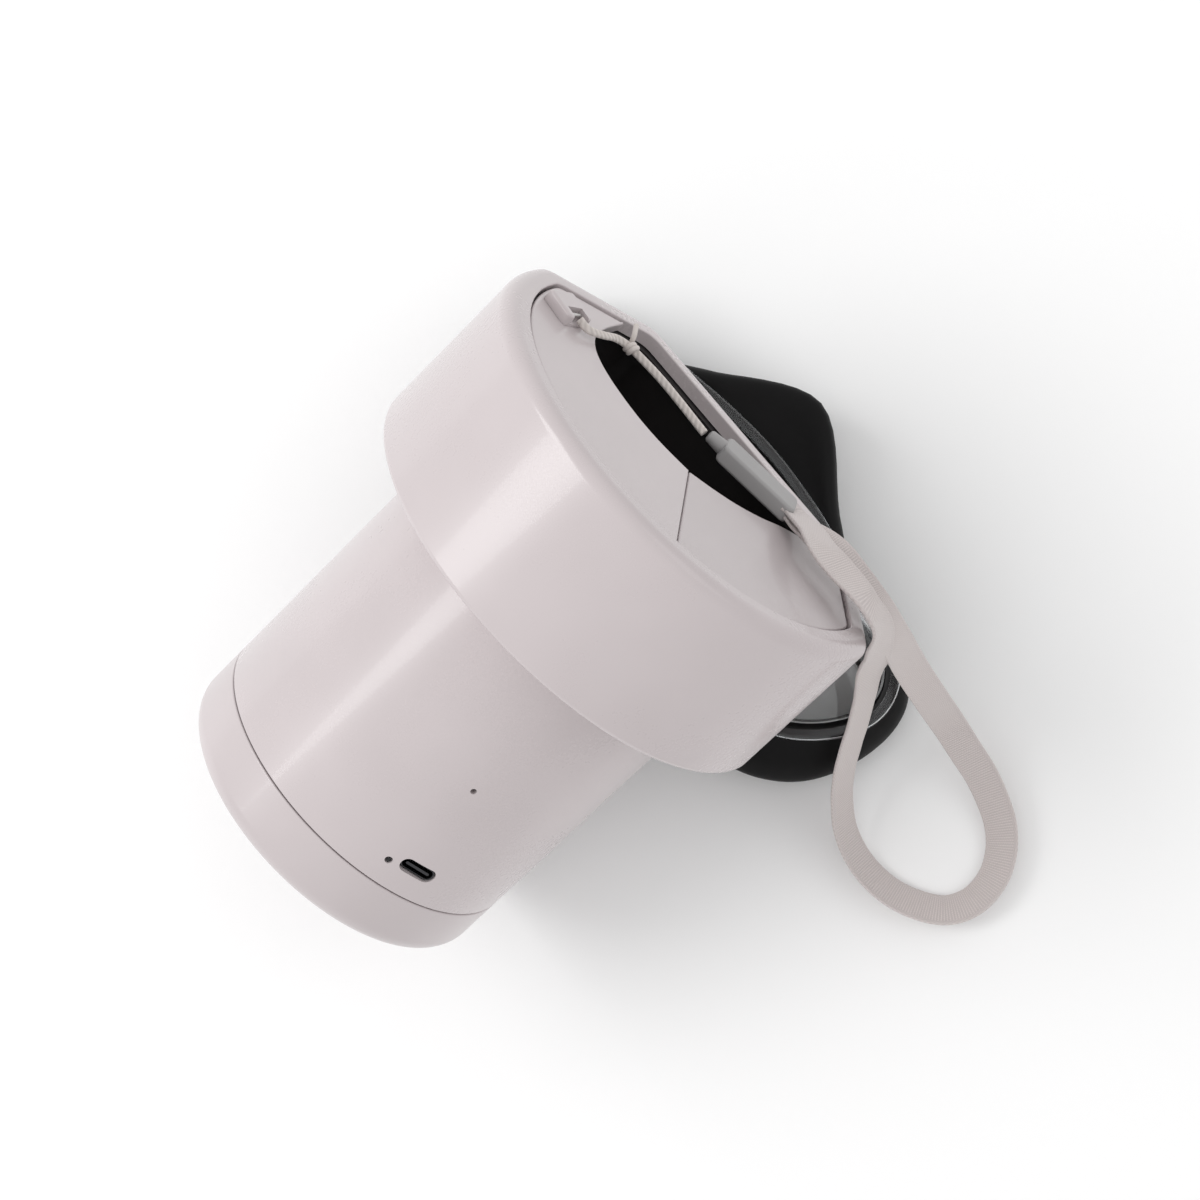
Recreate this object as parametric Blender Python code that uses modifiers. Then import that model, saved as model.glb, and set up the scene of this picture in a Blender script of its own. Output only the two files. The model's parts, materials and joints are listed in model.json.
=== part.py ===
"""Hand-held powered smoke-escape respirator, lying on its face seal and the edge of its base.

Every piece is drawn upright, in millimetres: the handle's axis is Z with the base cap at 0, and the
face side is +Y. The last step turns the whole object by TILT onto its seal and scales it to metres.
"""

import math

import bmesh
import bpy
from mathutils import Matrix, Vector

MM = 0.001
TILT = math.radians(22.0)  # how far the handle rises from the surface that the device lies on
FLOOR = 37.4  # from the handle's axis to that surface, square to it, at z = 0
SHIFT_X = -69.488  # brings the middle of the device, without its strap, to X = 0

BODY_R = 42.0
BODY_WALL = 2.4
BODY_IN = BODY_R - BODY_WALL
SEAM_Z = 15.7
SEAM_GAP = 0.3
BODY_TOP = 86.7
BASE_ROUND = 5.0
COLLAR_OUT = 39.1
COLLAR_IN = 36.8
COLLAR_TOP = 20.0

HEAD_R = 57.5
HEAD_Z0 = 87.0
HEAD_TOP = 130.0
CORNER = (57.4, 3.0)  # where the round front wall meets the slanting side wall
FLAT_X = 36.0
FLAT_Y = 33.0
HEAD_WALL = 2.5
HEAD_FLOOR = 89.4
LIP = 6.3  # how far the top lip reaches in from the outside
LIP_UNDER = 126.8
PLATE_Z0 = 127.0
PLATE_TOP = 129.2
PLATE_GAP = 0.4

PORT_AZ = 40.0  # degrees from the front (-Y) to the right (+X), for the socket, light and reset hole
USB_SIDE = 2.8
USB_Z = 24.2
LED_SIDE = -4.5
LED_Z = 22.7
RESET_SIDE = -2.3
RESET_Z = 49.2
BOARD_R = 31.4
BOARD_THICK = 1.6

CELL_R = 8.25
CELL_LENGTH = 34.5
CELL_AT = 21.5
CELL_Z = 22.4
IMPELLER_Z = 61.3
BLADES = 11
BLADE_AT = 19.6
BLADE_PITCH = math.radians(35.0)
AIR_SLOTS = 12
AIR_SLOT_AT = 24.0
HOUSING_HOLES = 10

FACE_X = 108.0  # along the surface from the foot of the axis to the middle of the face opening
# Half rings of the facepiece from chin to nose, each 15 degrees of turn: (along, to the side).
RIM = (
    (72.0, 0.0),
    (72.6, 16.0),
    (74.2, 31.0),
    (77.4, 43.5),
    (82.5, 55.0),
    (91.0, 63.5),
    (103.0, 68.0),
    (116.0, 68.0),
    (125.5, 62.5),
    (129.5, 51.5),
    (130.5, 38.0),
    (138.5, 24.0),
    (153.2, 0.0),
)
FLANGE = (
    (87.0, 0.0),
    (87.3, 14.0),
    (88.6, 27.0),
    (91.4, 39.0),
    (96.0, 49.5),
    (103.5, 57.0),
    (112.5, 61.0),
    (120.0, 59.0),
    (125.5, 51.5),
    (127.6, 41.0),
    (129.4, 28.5),
    (131.6, 14.5),
    (132.6, 0.0),
)
NOSE_LEAN = 3.0  # the soft nose of the seal lies this much to the left
NOSE_RELIEF = 9.0  # how far the rim stands clear of a flat surface at the nose
CHIN_RELIEF = 4.5
FLANGE_H = 22.0
NECK_HALF = 33.0
NECK_RISE = 14.5
NECK_Z = 106.0
RING_STEPS = 44
ROUND = 64

RIBBON_WIDE = 8.3
RIBBON_THICK = 0.9
THREAD_R = 0.95


def clear_scene():
    for ob in list(bpy.data.objects):
        bpy.data.objects.remove(ob)


def material(name, colour, rough, metal=0.0, through=0.0):
    mat = bpy.data.materials.new(name)
    mat.use_nodes = True
    bsdf = mat.node_tree.nodes["Principled BSDF"]
    bsdf.inputs["Base Color"].default_value = (*colour, 1.0)
    bsdf.inputs["Roughness"].default_value = rough
    bsdf.inputs["Metallic"].default_value = metal
    bsdf.inputs["Transmission Weight"].default_value = through
    return mat


clear_scene()
device = bpy.data.collections.new("Smoke_Escape_Respirator")
bpy.context.scene.collection.children.link(device)

WHITE = (0.78, 0.74, 0.73)
LOOKS = {
    "shell_white": (WHITE, 0.28),
    "cap_white": (WHITE, 0.3),
    "plate_white": ((0.74, 0.71, 0.7), 0.4),
    "inner_grey": ((0.3, 0.3, 0.31), 0.6),
    "tray_black": ((0.03, 0.03, 0.035), 0.55),
    "rubber_black": ((0.012, 0.012, 0.014), 0.35),
    "gasket_black": ((0.02, 0.02, 0.02), 0.7),
    "clear_plastic": ((0.75, 0.76, 0.76), 0.12),
    "board_green": ((0.02, 0.16, 0.07), 0.5),
    "cell_wrap": ((0.05, 0.16, 0.42), 0.35),
    "filter_white": ((0.85, 0.85, 0.82), 0.9),
    "strap_white": ((0.72, 0.69, 0.67), 0.85),
    "crimp_grey": ((0.45, 0.45, 0.44), 0.45),
}
METALS = {
    "socket_steel": ((0.6, 0.6, 0.6), 0.3),
    "screw_steel": ((0.55, 0.55, 0.56), 0.35),
    "motor_steel": ((0.5, 0.5, 0.5), 0.4),
}


def look(kind, node):
    """Each piece has a material of its own, named after the piece."""
    if kind in METALS:
        colour, rough = METALS[kind]
        return material(node + "_" + kind, colour, rough, metal=1.0)
    colour, rough = LOOKS[kind]
    return material(node + "_" + kind, colour, rough, through=0.8 if kind == "clear_plastic" else 0.0)


def bake(ob):
    """Replaces an object's modifiers, or its curve, by the mesh that they make."""
    graph = bpy.context.evaluated_depsgraph_get()
    graph.update()
    mesh = bpy.data.meshes.new_from_object(ob.evaluated_get(graph))
    name = ob.name
    bpy.data.objects.remove(ob)
    new = bpy.data.objects.new(name, mesh)
    bpy.context.scene.collection.objects.link(new)
    tidy(mesh)
    return new


def tidy(mesh):
    bm = bmesh.new()
    bm.from_mesh(mesh)
    bmesh.ops.remove_doubles(bm, verts=bm.verts, dist=0.0001)
    bmesh.ops.dissolve_degenerate(bm, edges=bm.edges, dist=0.0001)
    bmesh.ops.recalc_face_normals(bm, faces=bm.faces)
    bm.to_mesh(mesh)
    bm.free()


def mesh_object(name, bm):
    mesh = bpy.data.meshes.new(name)
    bmesh.ops.recalc_face_normals(bm, faces=bm.faces)
    bm.to_mesh(mesh)
    bm.free()
    ob = bpy.data.objects.new(name, mesh)
    bpy.context.scene.collection.objects.link(ob)
    return ob


def turned(name, profile, steps=ROUND):
    """A turned piece: the closed outline (radius, height) is swept round Z by a Screw modifier."""
    bm = bmesh.new()
    verts = [bm.verts.new((r, 0.0, z)) for r, z in profile]
    for a, b in zip(verts, verts[1:]):
        bm.edges.new((a, b))
    if profile[0][0] > 0 and profile[-1][0] > 0:
        bm.edges.new((verts[-1], verts[0]))
    mesh = bpy.data.meshes.new(name)
    bm.to_mesh(mesh)
    bm.free()
    ob = bpy.data.objects.new(name, mesh)
    bpy.context.scene.collection.objects.link(ob)
    screw = ob.modifiers.new("Turn", "SCREW")
    screw.steps = steps
    screw.render_steps = steps
    screw.use_merge_vertices = True
    screw.merge_threshold = 0.0001
    return bake(ob)


def flat_piece(name, outlines, z0, z1):
    """A plate: the first outline is the edge and the others are holes, as a filled and extruded 2D curve."""
    curve = bpy.data.curves.new(name, "CURVE")
    curve.dimensions = "2D"
    curve.fill_mode = "BOTH"
    curve.extrude = (z1 - z0) / 2
    curve.render_resolution_u = 0
    for outline in outlines:
        spline = curve.splines.new("POLY")
        spline.points.add(len(outline) - 1)
        for point, (x, y) in zip(spline.points, outline):
            point.co = (x, y, 0.0, 1.0)
        spline.use_cyclic_u = True
    ob = bpy.data.objects.new(name, curve)
    bpy.context.scene.collection.objects.link(ob)
    made = bake(ob)
    made.data.transform(Matrix.Translation((0.0, 0.0, (z0 + z1) / 2)))
    return made


def disc(name, x, y, z0, z1, radius, steps=24):
    points = [(x + radius * math.cos(a), y + radius * math.sin(a)) for a in angles(steps)]
    return flat_piece(name, [points], z0, z1)


def angles(steps):
    return [2 * math.pi * i / steps for i in range(steps)]


def boolean(target, tool, operation):
    mod = target.modifiers.new("Shape", "BOOLEAN")
    mod.operation = operation
    mod.solver = "EXACT"
    mod.object = tool
    made = bake(target)
    bpy.data.objects.remove(tool)
    return made


def cut(target, tool):
    return boolean(target, tool, "DIFFERENCE")


def add(target, tool):
    return boolean(target, tool, "UNION")


def bevel(ob, width, segments, limit=40.0):
    mod = ob.modifiers.new("Edge", "BEVEL")
    mod.width = width
    mod.segments = segments
    mod.limit_method = "ANGLE"
    mod.angle_limit = math.radians(limit)
    return bake(ob)


def round_edge(ob, level, width, segments):
    """Rounds the edges of a plate that lie at one height."""
    bm = bmesh.new()
    bm.from_mesh(ob.data)
    picked = []
    for edge in bm.edges:
        level_edge = all(abs(v.co.z - level) < 0.01 for v in edge.verts)
        if level_edge and edge.calc_face_angle(0.0) > 0.5:
            picked.append(edge)
    bmesh.ops.bevel(
        bm, geom=picked, offset=width, segments=segments, profile=0.5, affect="EDGES", material=-1
    )
    bm.to_mesh(ob.data)
    bm.free()


def loft(name, rings, closed):
    """A skin through rings of points, closed into a loop or with a face at each end."""
    bm = bmesh.new()
    rows = [[bm.verts.new(p) for p in ring] for ring in rings]
    pairs = list(zip(rows, rows[1:]))
    if closed:
        pairs.append((rows[-1], rows[0]))
    else:
        bm.faces.new(rows[0])
        bm.faces.new(rows[-1])
    count = len(rings[0])
    for a, b in pairs:
        for i in range(count):
            j = (i + 1) % count
            bm.faces.new((a[i], a[j], b[j], b[i]))
    return mesh_object(name, bm)


def finish(ob, node, kind, origin=None, sharp=35.0):
    """Shades the piece, turns it onto its seal, scales it to metres and files it under its own name."""
    bm = bmesh.new()
    bm.from_mesh(ob.data)
    for face in bm.faces:
        face.smooth = True
    for edge in bm.edges:
        edge.smooth = len(edge.link_faces) == 2 and edge.calc_face_angle(0.0) < math.radians(sharp)
    bm.to_mesh(ob.data)
    bm.free()
    ob.data.transform(PLACE)
    if origin is not None:
        at = PLACE @ Vector(origin)
        ob.data.transform(Matrix.Translation(-at))
        ob.location = at
    ob.data.materials.clear()
    ob.data.materials.append(look(kind, node))
    ob.name = node
    ob.data.name = node
    for col in list(ob.users_collection):
        col.objects.unlink(ob)
    device.objects.link(ob)
    return ob


def lying(x, y, z):
    """The place on the finished device of a point given upright, in millimetres."""
    return Vector(
        (
            math.sin(TILT) * y + math.cos(TILT) * z + SHIFT_X,
            -x,
            FLOOR - math.cos(TILT) * y + math.sin(TILT) * z,
        )
    )


def upright(along, side, height):
    """The upright point, in millimetres, of a place over the surface: along it, to its side and above it."""
    return (
        -side,
        math.cos(TILT) * (FLOOR - height) + math.sin(TILT) * along,
        -math.sin(TILT) * (FLOOR - height) + math.cos(TILT) * along,
    )


PLACE = Matrix(
    (
        (0.0, math.sin(TILT) * MM, math.cos(TILT) * MM, SHIFT_X * MM),
        (-MM, 0.0, 0.0, 0.0),
        (0.0, -math.cos(TILT) * MM, math.sin(TILT) * MM, FLOOR * MM),
        (0.0, 0.0, 0.0, 1.0),
    )
)


def head_outline(inset, front=48, corner=1.5):
    """The head seen from above, a given distance in: round front, two slanting sides and a flat back."""
    radius = HEAD_R - inset
    back = FLAT_Y - inset
    slope = Vector((FLAT_X - CORNER[0], FLAT_Y - CORNER[1])).normalized()
    normal = Vector((slope.y, -slope.x))
    offset = Vector(CORNER).dot(normal) - inset
    # The slanting line meets the circle, then the flat back.
    foot = normal * offset
    reach = -math.sqrt(radius * radius - offset * offset)
    near = foot + slope * reach
    if near.y > foot.y:
        near = foot - slope * reach
    far = foot + slope * ((back - foot.y) / slope.y)
    start = math.atan2(near.y, near.x)
    sweep = -math.pi - 2 * start
    arc = []
    for i in range(front + 1):
        a = start + sweep * i / front
        arc.append((radius * math.cos(a), radius * math.sin(a)))
    right = [(far.x - slope.x * corner, far.y - slope.y * corner), (far.x - corner, far.y)]
    left = [(-x, y) for x, y in right]
    return [*arc, *left, *reversed(right)]


def port_frame(side, z, depth):
    """Turns a piece drawn along -Y into the direction of the socket, set sideways and out by depth."""
    turn = Matrix.Rotation(math.radians(PORT_AZ), 4, "Z")
    return turn @ Matrix.Translation((side, -depth, z))


def rounded(width, height, radius, steps=5):
    """A rounded rectangle, as a list of points."""
    points = []
    for cx, cy, first in ((1, 1, 0), (-1, 1, 90), (-1, -1, 180), (1, -1, 270)):
        for i in range(steps + 1):
            a = math.radians(first + 90 * i / steps)
            x = cx * (width / 2 - radius) + radius * math.cos(a)
            y = cy * (height / 2 - radius) + radius * math.sin(a)
            points.append((x, y))
    return points


def pointing(ob, side, z, depth):
    """Stands a plate drawn from 0 up on the port direction, its 0 face at the given depth."""
    lie = Matrix.Rotation(math.radians(90.0), 4, "X")
    ob.data.transform(port_frame(side, z, depth) @ lie)
    return ob


# Base cap: a cup with a rounded foot, a collar that goes up inside the body and air slots in its floor.
foot = [
    (BODY_R - BASE_ROUND + BASE_ROUND * math.cos(a), BASE_ROUND - BASE_ROUND * math.sin(a))
    for a in (math.pi / 2 * i / 5 for i in range(6))
]
cap = turned(
    "base_cap",
    [
        (0.0, 2.5),
        (COLLAR_IN, 2.5),
        (COLLAR_IN, COLLAR_TOP),
        (COLLAR_OUT, COLLAR_TOP),
        (COLLAR_OUT, SEAM_Z),
        (BODY_R - 0.4, SEAM_Z),
        (BODY_R, SEAM_Z - 0.4),
        *foot,
        (0.0, 0.0),
    ],
)
for i in range(AIR_SLOTS):
    slot = flat_piece("slot", [rounded(13.0, 2.2, 1.05)], -1.0, 4.0)
    turn = Matrix.Rotation(2 * math.pi * i / AIR_SLOTS, 4, "Z")
    slot.data.transform(turn @ Matrix.Translation((AIR_SLOT_AT, 0.0, 0.0)))
    cap = cut(cap, slot)
finish(cap, "base_cap", "cap_white", origin=(0.0, 0.0, 0.0))

# Body: a plain tube with the charging socket's slot, the light's hole and the reset hole.
body = turned(
    "body_shell",
    [
        (BODY_IN, BODY_TOP),
        (BODY_R, BODY_TOP),
        (BODY_R, SEAM_Z + SEAM_GAP + 0.4),
        (BODY_R - 0.4, SEAM_Z + SEAM_GAP),
        (BODY_IN, SEAM_Z + SEAM_GAP),
    ],
)
body = cut(body, pointing(flat_piece("c", [rounded(9.6, 3.9, 1.9)], 0.0, 12.0), USB_SIDE, USB_Z, 34.0))
body = cut(body, pointing(disc("c", 0, 0, 0.0, 12.0, 0.95, 16), LED_SIDE, LED_Z, 34.0))
body = cut(body, pointing(disc("c", 0, 0, 0.0, 12.0, 0.75, 16), RESET_SIDE, RESET_Z, 34.0))
finish(body, "body_shell", "shell_white")

# Electronics on a tray above the cap's collar.
tray = turned("battery_tray", [(9.5, 21.9), (39.1, 21.9), (39.1, 20.4), (9.5, 20.4)], 40)
finish(tray, "battery_tray", "inner_grey")
for i in range(3):
    angle = math.radians(PORT_AZ - 90 + 60 + 120 * i)
    x = CELL_AT * math.cos(angle)
    y = CELL_AT * math.sin(angle)
    top = CELL_Z + CELL_LENGTH
    cell = turned(
        "cell",
        [
            (0.0, top),
            (2.6, top),
            (2.8, top - 1.0),
            (CELL_R - 0.6, top - 1.0),
            (CELL_R, top - 1.6),
            (CELL_R, CELL_Z + 0.5),
            (CELL_R - 0.5, CELL_Z),
            (0.0, CELL_Z),
        ],
        32,
    )
    cell.data.transform(Matrix.Translation((x, y, 0.0)))
    finish(cell, f"battery_cell_{i + 1}", "cell_wrap")

board = flat_piece("board", [rounded(24.0, 34.0, 1.0, 2)], 0.0, BOARD_THICK)
finish(pointing(board, 0.0, 39.6, BOARD_R), "circuit_board", "board_green")
socket = flat_piece("socket", [rounded(8.9, 3.2, 1.5)], 0.0, 7.6)
room = flat_piece("c", [rounded(8.3, 2.6, 1.2), rounded(6.6, 0.7, 0.3, 2)[::-1]], 1.0, 9.0)
socket = cut(socket, room)
finish(pointing(socket, USB_SIDE, USB_Z, 33.4), "charging_socket", "socket_steel")
finish(pointing(disc("led", 0, 0, 0.0, 8.2, 0.6, 16), LED_SIDE, LED_Z, 33.4), "light_pipe", "clear_plastic")
button = pointing(disc("reset", 0, 0, 0.0, 5.4, 1.6, 20), RESET_SIDE, RESET_Z, 33.4)
finish(button, "reset_button", "tray_black")

# Blower: a flanged housing, the motor in its ring and the fan that turns on the handle's axis.
house = turned(
    "blower_housing",
    [
        (0.0, 68.0),
        (39.1, 68.0),
        (39.1, 66.9),
        (31.0, 66.9),
        (31.0, 59.2),
        (14.0, 59.2),
        (14.0, 60.4),
        (29.6, 60.4),
        (29.6, 66.8),
        (0.0, 66.8),
    ],
    40,
)
ring = turned("ring", [(8.4, 60.4), (9.8, 60.4), (9.8, 57.6), (8.4, 57.6)], 24)
for i in range(3):
    arm = flat_piece("arm", [rounded(6.0, 2.2, 0.3, 1)], 59.3, 60.3)
    arm.data.transform(Matrix.Rotation(math.radians(120 * i), 4, "Z") @ Matrix.Translation((12.0, 0.0, 0.0)))
    ring = add(ring, arm)
house = add(house, ring)
for out, radius in ((34.8, 2.6), (25.0, 3.2)):
    for i in range(HOUSING_HOLES):
        hole = disc("hole", out, 0.0, 66.0, 69.0, radius, 16)
        hole.data.transform(Matrix.Rotation(2 * math.pi * i / HOUSING_HOLES, 4, "Z"))
        house = cut(house, hole)
finish(house, "blower_housing", "inner_grey")
motor = turned(
    "motor",
    [(0.0, 60.6), (1.6, 60.6), (1.6, 60.0), (7.6, 60.0), (8.0, 59.6), (8.0, 46.4), (7.6, 46.0), (0.0, 46.0)],
    40,
)
finish(motor, "blower_motor", "motor_steel")
fan = turned(
    "impeller",
    [
        (0.0, 65.8),
        (6.4, 65.8),
        (7.0, 65.2),
        (7.0, IMPELLER_Z + 0.9),
        (27.0, IMPELLER_Z + 0.9),
        (27.0, IMPELLER_Z),
        (0.0, IMPELLER_Z),
    ],
    40,
)
for i in range(BLADES):
    blade = flat_piece("blade", [rounded(13.5, 0.9, 0.3, 1)], IMPELLER_Z + 0.5, 65.4)
    turn = Matrix.Rotation(2 * math.pi * i / BLADES, 4, "Z")
    pitch = Matrix.Rotation(BLADE_PITCH, 4, "Z")
    blade.data.transform(turn @ Matrix.Translation((BLADE_AT, 0.0, 0.0)) @ pitch)
    fan = add(fan, blade)
finish(fan, "impeller", "inner_grey", origin=(0.0, 0.0, IMPELLER_Z))

# Filter cartridge under the neck ring.
frame = turned(
    "filter_frame",
    [
        (33.5, 78.1),
        (38.9, 78.1),
        (38.9, 68.5),
        (33.5, 68.5),
        (33.5, 69.5),
        (37.3, 69.5),
        (37.3, 77.1),
        (33.5, 77.1),
    ],
    48,
)
finish(frame, "filter_frame", "inner_grey")
media = turned("filter_media", [(0.0, 76.8), (36.9, 76.8), (36.9, 69.8), (0.0, 69.8)], 48)
finish(media, "filter_media", "filter_white")


def torus(name, radius, z, thick, steps=40, around=6):
    profile = [(radius + thick * math.cos(a), z + thick * math.sin(a)) for a in angles(around)]
    return turned(name, profile, steps)


finish(torus("gasket", 36.5, 78.85, 0.42), "filter_gasket", "gasket_black")
neck = turned("neck_ring", [(32.5, 86.5), (39.2, 86.5), (39.2, 79.6), (32.5, 79.6)], 48)
SCREW_AT = 36.0
SCREW_AZ = (45, 135, 225, 315)
for az in SCREW_AZ:
    a = math.radians(az)
    neck = cut(neck, disc("c", SCREW_AT * math.cos(a), SCREW_AT * math.sin(a), 79.0, 87.0, 1.5, 16))
finish(neck, "neck_ring", "inner_grey")

# Head: the wall, its floor and the lip round the top, all one moulding.
head = flat_piece("head_shell", [head_outline(0.0)], HEAD_Z0, HEAD_TOP)
round_edge(head, HEAD_TOP, 3.6, 5)
round_edge(head, HEAD_Z0, 1.2, 2)
head = cut(head, flat_piece("c", [head_outline(LIP)], LIP_UNDER - 1.0, HEAD_TOP + 1.0))
head = cut(head, flat_piece("c", [head_outline(HEAD_WALL)], HEAD_FLOOR, LIP_UNDER))
head = cut(head, disc("c", 0.0, 0.0, HEAD_Z0 - 1.0, HEAD_FLOOR + 1.0, 27.0, 48))
for az in SCREW_AZ:
    a = math.radians(az)
    head = cut(head, disc("c", SCREW_AT * math.cos(a), SCREW_AT * math.sin(a), 86.0, 90.0, 1.5, 16))
port = flat_piece("c", [rounded(52.0, 17.0, 8.4, 6)], -2.0, 6.0)
port.data.transform(Matrix.Translation((0.0, FLAT_Y, 100.5)) @ Matrix.Rotation(math.radians(90.0), 4, "X"))
head = cut(head, port)
finish(head, "head_shell", "shell_white")
for i, az in enumerate(SCREW_AZ):
    a = math.radians(az)
    screw = turned(
        "screw",
        [(0.0, 91.1), (1.7, 91.1), (2.3, 90.5), (2.3, 89.7), (1.15, 89.7), (1.15, 80.4), (0.0, 80.4)],
        20,
    )
    screw.data.transform(Matrix.Translation((SCREW_AT * math.cos(a), SCREW_AT * math.sin(a), 0.0)))
    finish(screw, f"head_screw_{i + 1}", "screw_steel")

# One-way valve over the neck: a spoked seat and a rubber flap on its stud.
seat = turned("valve_seat", [(24.0, 91.0), (29.6, 91.0), (29.6, 89.7), (24.0, 89.7)], 48)
for i in range(3):
    spoke = flat_piece("spoke", [rounded(51.0, 2.4, 0.4, 1)], 89.8, 90.9)
    spoke.data.transform(Matrix.Rotation(math.radians(60 * i), 4, "Z"))
    seat = add(seat, spoke)
stud = turned("stud", [(0.0, 94.2), (1.7, 94.2), (2.6, 93.4), (1.5, 92.6), (1.5, 90.0), (0.0, 90.0)], 24)
seat = add(seat, stud)
finish(seat, "valve_seat", "inner_grey")
flap = turned("valve_flap", [(1.85, 92.2), (26.2, 91.8), (26.2, 91.35), (1.85, 91.35)], 48)
finish(flap, "valve_flap", "gasket_black")

# The strap's stowage tray hangs under the lip and carries the two top plates.
stow = flat_piece("stowage_tray", [head_outline(3.0)], 111.5, 126.5)
stow = cut(stow, flat_piece("c", [head_outline(8.6)], 125.0, 128.0))
stow = cut(stow, flat_piece("c", [head_outline(4.3)], 112.7, 125.1))
finish(stow, "stowage_tray", "tray_black")

rim = head_outline(LIP + PLATE_GAP)
SEAM_OUT = (19.1, -47.6)
SEAM_IN = (3.1, -12.4)
NEAR_EDGE = (
    (-5.0, -14.4),
    (-12.0, -14.8),
    (-19.0, -13.8),
    (-26.0, -11.6),
    (-32.0, -7.6),
    (-36.0, -1.0),
    (-37.6, 8.0),
)
NEAR_EDGE_RIGHT = (
    (9.0, -7.6),
    (14.0, -2.6),
    (18.6, 3.6),
    (22.5, 10.4),
    (27.0, 15.6),
    (33.0, 17.6),
    (40.0, 15.6),
    (46.0, 10.6),
)
FAR_LEFT = (-38.0, 18.0)
HALF_SEAM = 0.22


def wedge(points, name):
    return flat_piece(name, [points], PLATE_Z0 - 1.0, PLATE_TOP + 1.0)


opening = [SEAM_IN, *NEAR_EDGE, FAR_LEFT, (-36.5, 60.0), (80.0, 60.0), (80.0, -0.2), (52.0, 4.6)]
opening = [*opening, *NEAR_EDGE_RIGHT[::-1]]
left = flat_piece("top_plate_left", [rim], PLATE_Z0, PLATE_TOP)
left = cut(left, wedge(opening, "c"))
right = flat_piece("top_plate_right", [rim], PLATE_Z0, PLATE_TOP - 0.15)
right = cut(right, wedge(opening, "c"))
along = (Vector(SEAM_OUT) - Vector(SEAM_IN)).normalized()
side = Vector((-along.y, along.x)) * HALF_SEAM
a = Vector(SEAM_IN) - along * 90.0
b = Vector(SEAM_OUT) + along * 90.0
far = Vector((-along.y, along.x)) * 150.0
left = cut(left, wedge([tuple(a - side), tuple(b - side), tuple(b + far), tuple(a + far)], "c"))
right = cut(right, wedge([tuple(a + side), tuple(b + side), tuple(b - far), tuple(a - far)], "c"))
finish(left, "top_plate_left", "plate_white")
finish(right, "top_plate_right", "plate_white")

# Strap anchor: a block with a slit, and the pin across it that the thread goes round.
ANCHOR = (-43.4, -8.2)
ANCHOR_TURN = math.radians(-12.0)
place = Matrix.Translation((*ANCHOR, 0.0)) @ Matrix.Rotation(ANCHOR_TURN, 4, "Z")
block = flat_piece("strap_anchor", [rounded(8.6, 9.6, 0.8, 2)], PLATE_TOP + 0.3, PLATE_TOP + 3.2)
slit = flat_piece("c", [[(1.0, -3.0), (5.0, -3.0), (5.0, 3.0), (1.0, 3.0)]], PLATE_TOP + 0.9, 140.0)
block = cut(block, slit)
block.data.transform(place)
finish(block, "strap_anchor", "plate_white")
pin = turned("pin", [(0.0, 2.6), (0.5, 2.6), (0.5, -2.6), (0.0, -2.6)], 16)
across_slit = Matrix.Translation((2.2, 0.0, PLATE_TOP + 2.0)) @ Matrix.Rotation(math.pi / 2, 4, "X")
pin.data.transform(place @ across_slit)
finish(pin, "anchor_pin", "screw_steel")


# Facepiece. Its rings are given at equal turns round the face opening, 0 to the right and 90 to the nose.
def face_ring(turn, half):
    """A point of a closed smooth ring through the half ring's points and their mirror images."""
    whole = [*half, *((a, -x) for a, x in half[-2:0:-1])]
    place = (math.degrees(turn) + 90.0) / 15.0
    first = math.floor(place)
    t = place - first
    p = [Vector(whole[(first + k) % len(whole)]) for k in (-1, 0, 1, 2)]
    bend = 2 * p[1] + (p[2] - p[0]) * t + (2 * p[0] - 5 * p[1] + 4 * p[2] - p[3]) * t * t
    return (bend + (3 * p[1] - p[0] - 3 * p[2] + p[3]) * t**3) / 2


def rim_point(turn):
    at = face_ring(turn, RIM)
    share = min(1.0, max(0.0, (at.x - 120.0) / 25.0))
    return at - Vector((0.0, NOSE_LEAN * share * share * (3.0 - 2.0 * share)))


def flange_point(turn):
    return face_ring(turn, FLANGE)


def seal_relief(turn):
    """How far the rim is clear of a flat surface: nothing at the cheeks, most at the nose and chin."""
    across = face_ring(turn, RIM).y / 67.0
    most = NOSE_RELIEF if math.sin(turn) > 0 else CHIN_RELIEF
    return most * max(0.0, 1.0 - across * across)


def outward(ring, turn):
    """The direction square to a ring, away from the middle of the face opening."""
    along = (ring(turn + 0.01) - ring(turn - 0.01)).normalized()
    out = Vector((along.y, -along.x))
    away = ring(turn) - Vector((FACE_X, 0.0))
    return out if out.dot(away) > 0 else -out


SEAL_SECTION = (
    (0.0, 19.6, 0.7),
    (0.25, 17.2, 0.0),
    (0.55, 14.2, -0.3),
    (0.85, 11.6, -0.8),
    (1.0, 8.6, -0.5),
    (1.0, 5.4, 0.0),
    (1.0, 2.4, -1.0),
    (1.0, 0.5, -3.2),
    (1.0, 0.0, -6.0),
    (1.0, 0.9, -9.0),
    (0.95, 3.2, -10.3),
    (0.85, 6.4, -7.8),
    (0.6, 10.6, -4.7),
    (0.3, 15.2, -2.9),
    (0.0, 19.6, -1.1),
)


def seal_ring(turn):
    flange = Vector(flange_point(turn))
    rim_at = Vector(rim_point(turn))
    ring = []
    for share, height, out in SEAL_SECTION:
        at = flange.lerp(rim_at, share) + outward(rim_point, turn) * out
        ring.append(upright(at.x, -at.y, height + seal_relief(turn) * share))
    return ring


seal = loft("face_seal", [seal_ring(a) for a in angles(RING_STEPS)], True)
finish(seal, "face_seal", "rubber_black", sharp=60.0)


def neck_point(turn):
    return Vector((NECK_HALF * math.cos(turn), FLAT_Y + 0.4, NECK_Z + NECK_RISE * math.sin(turn)))


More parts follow.
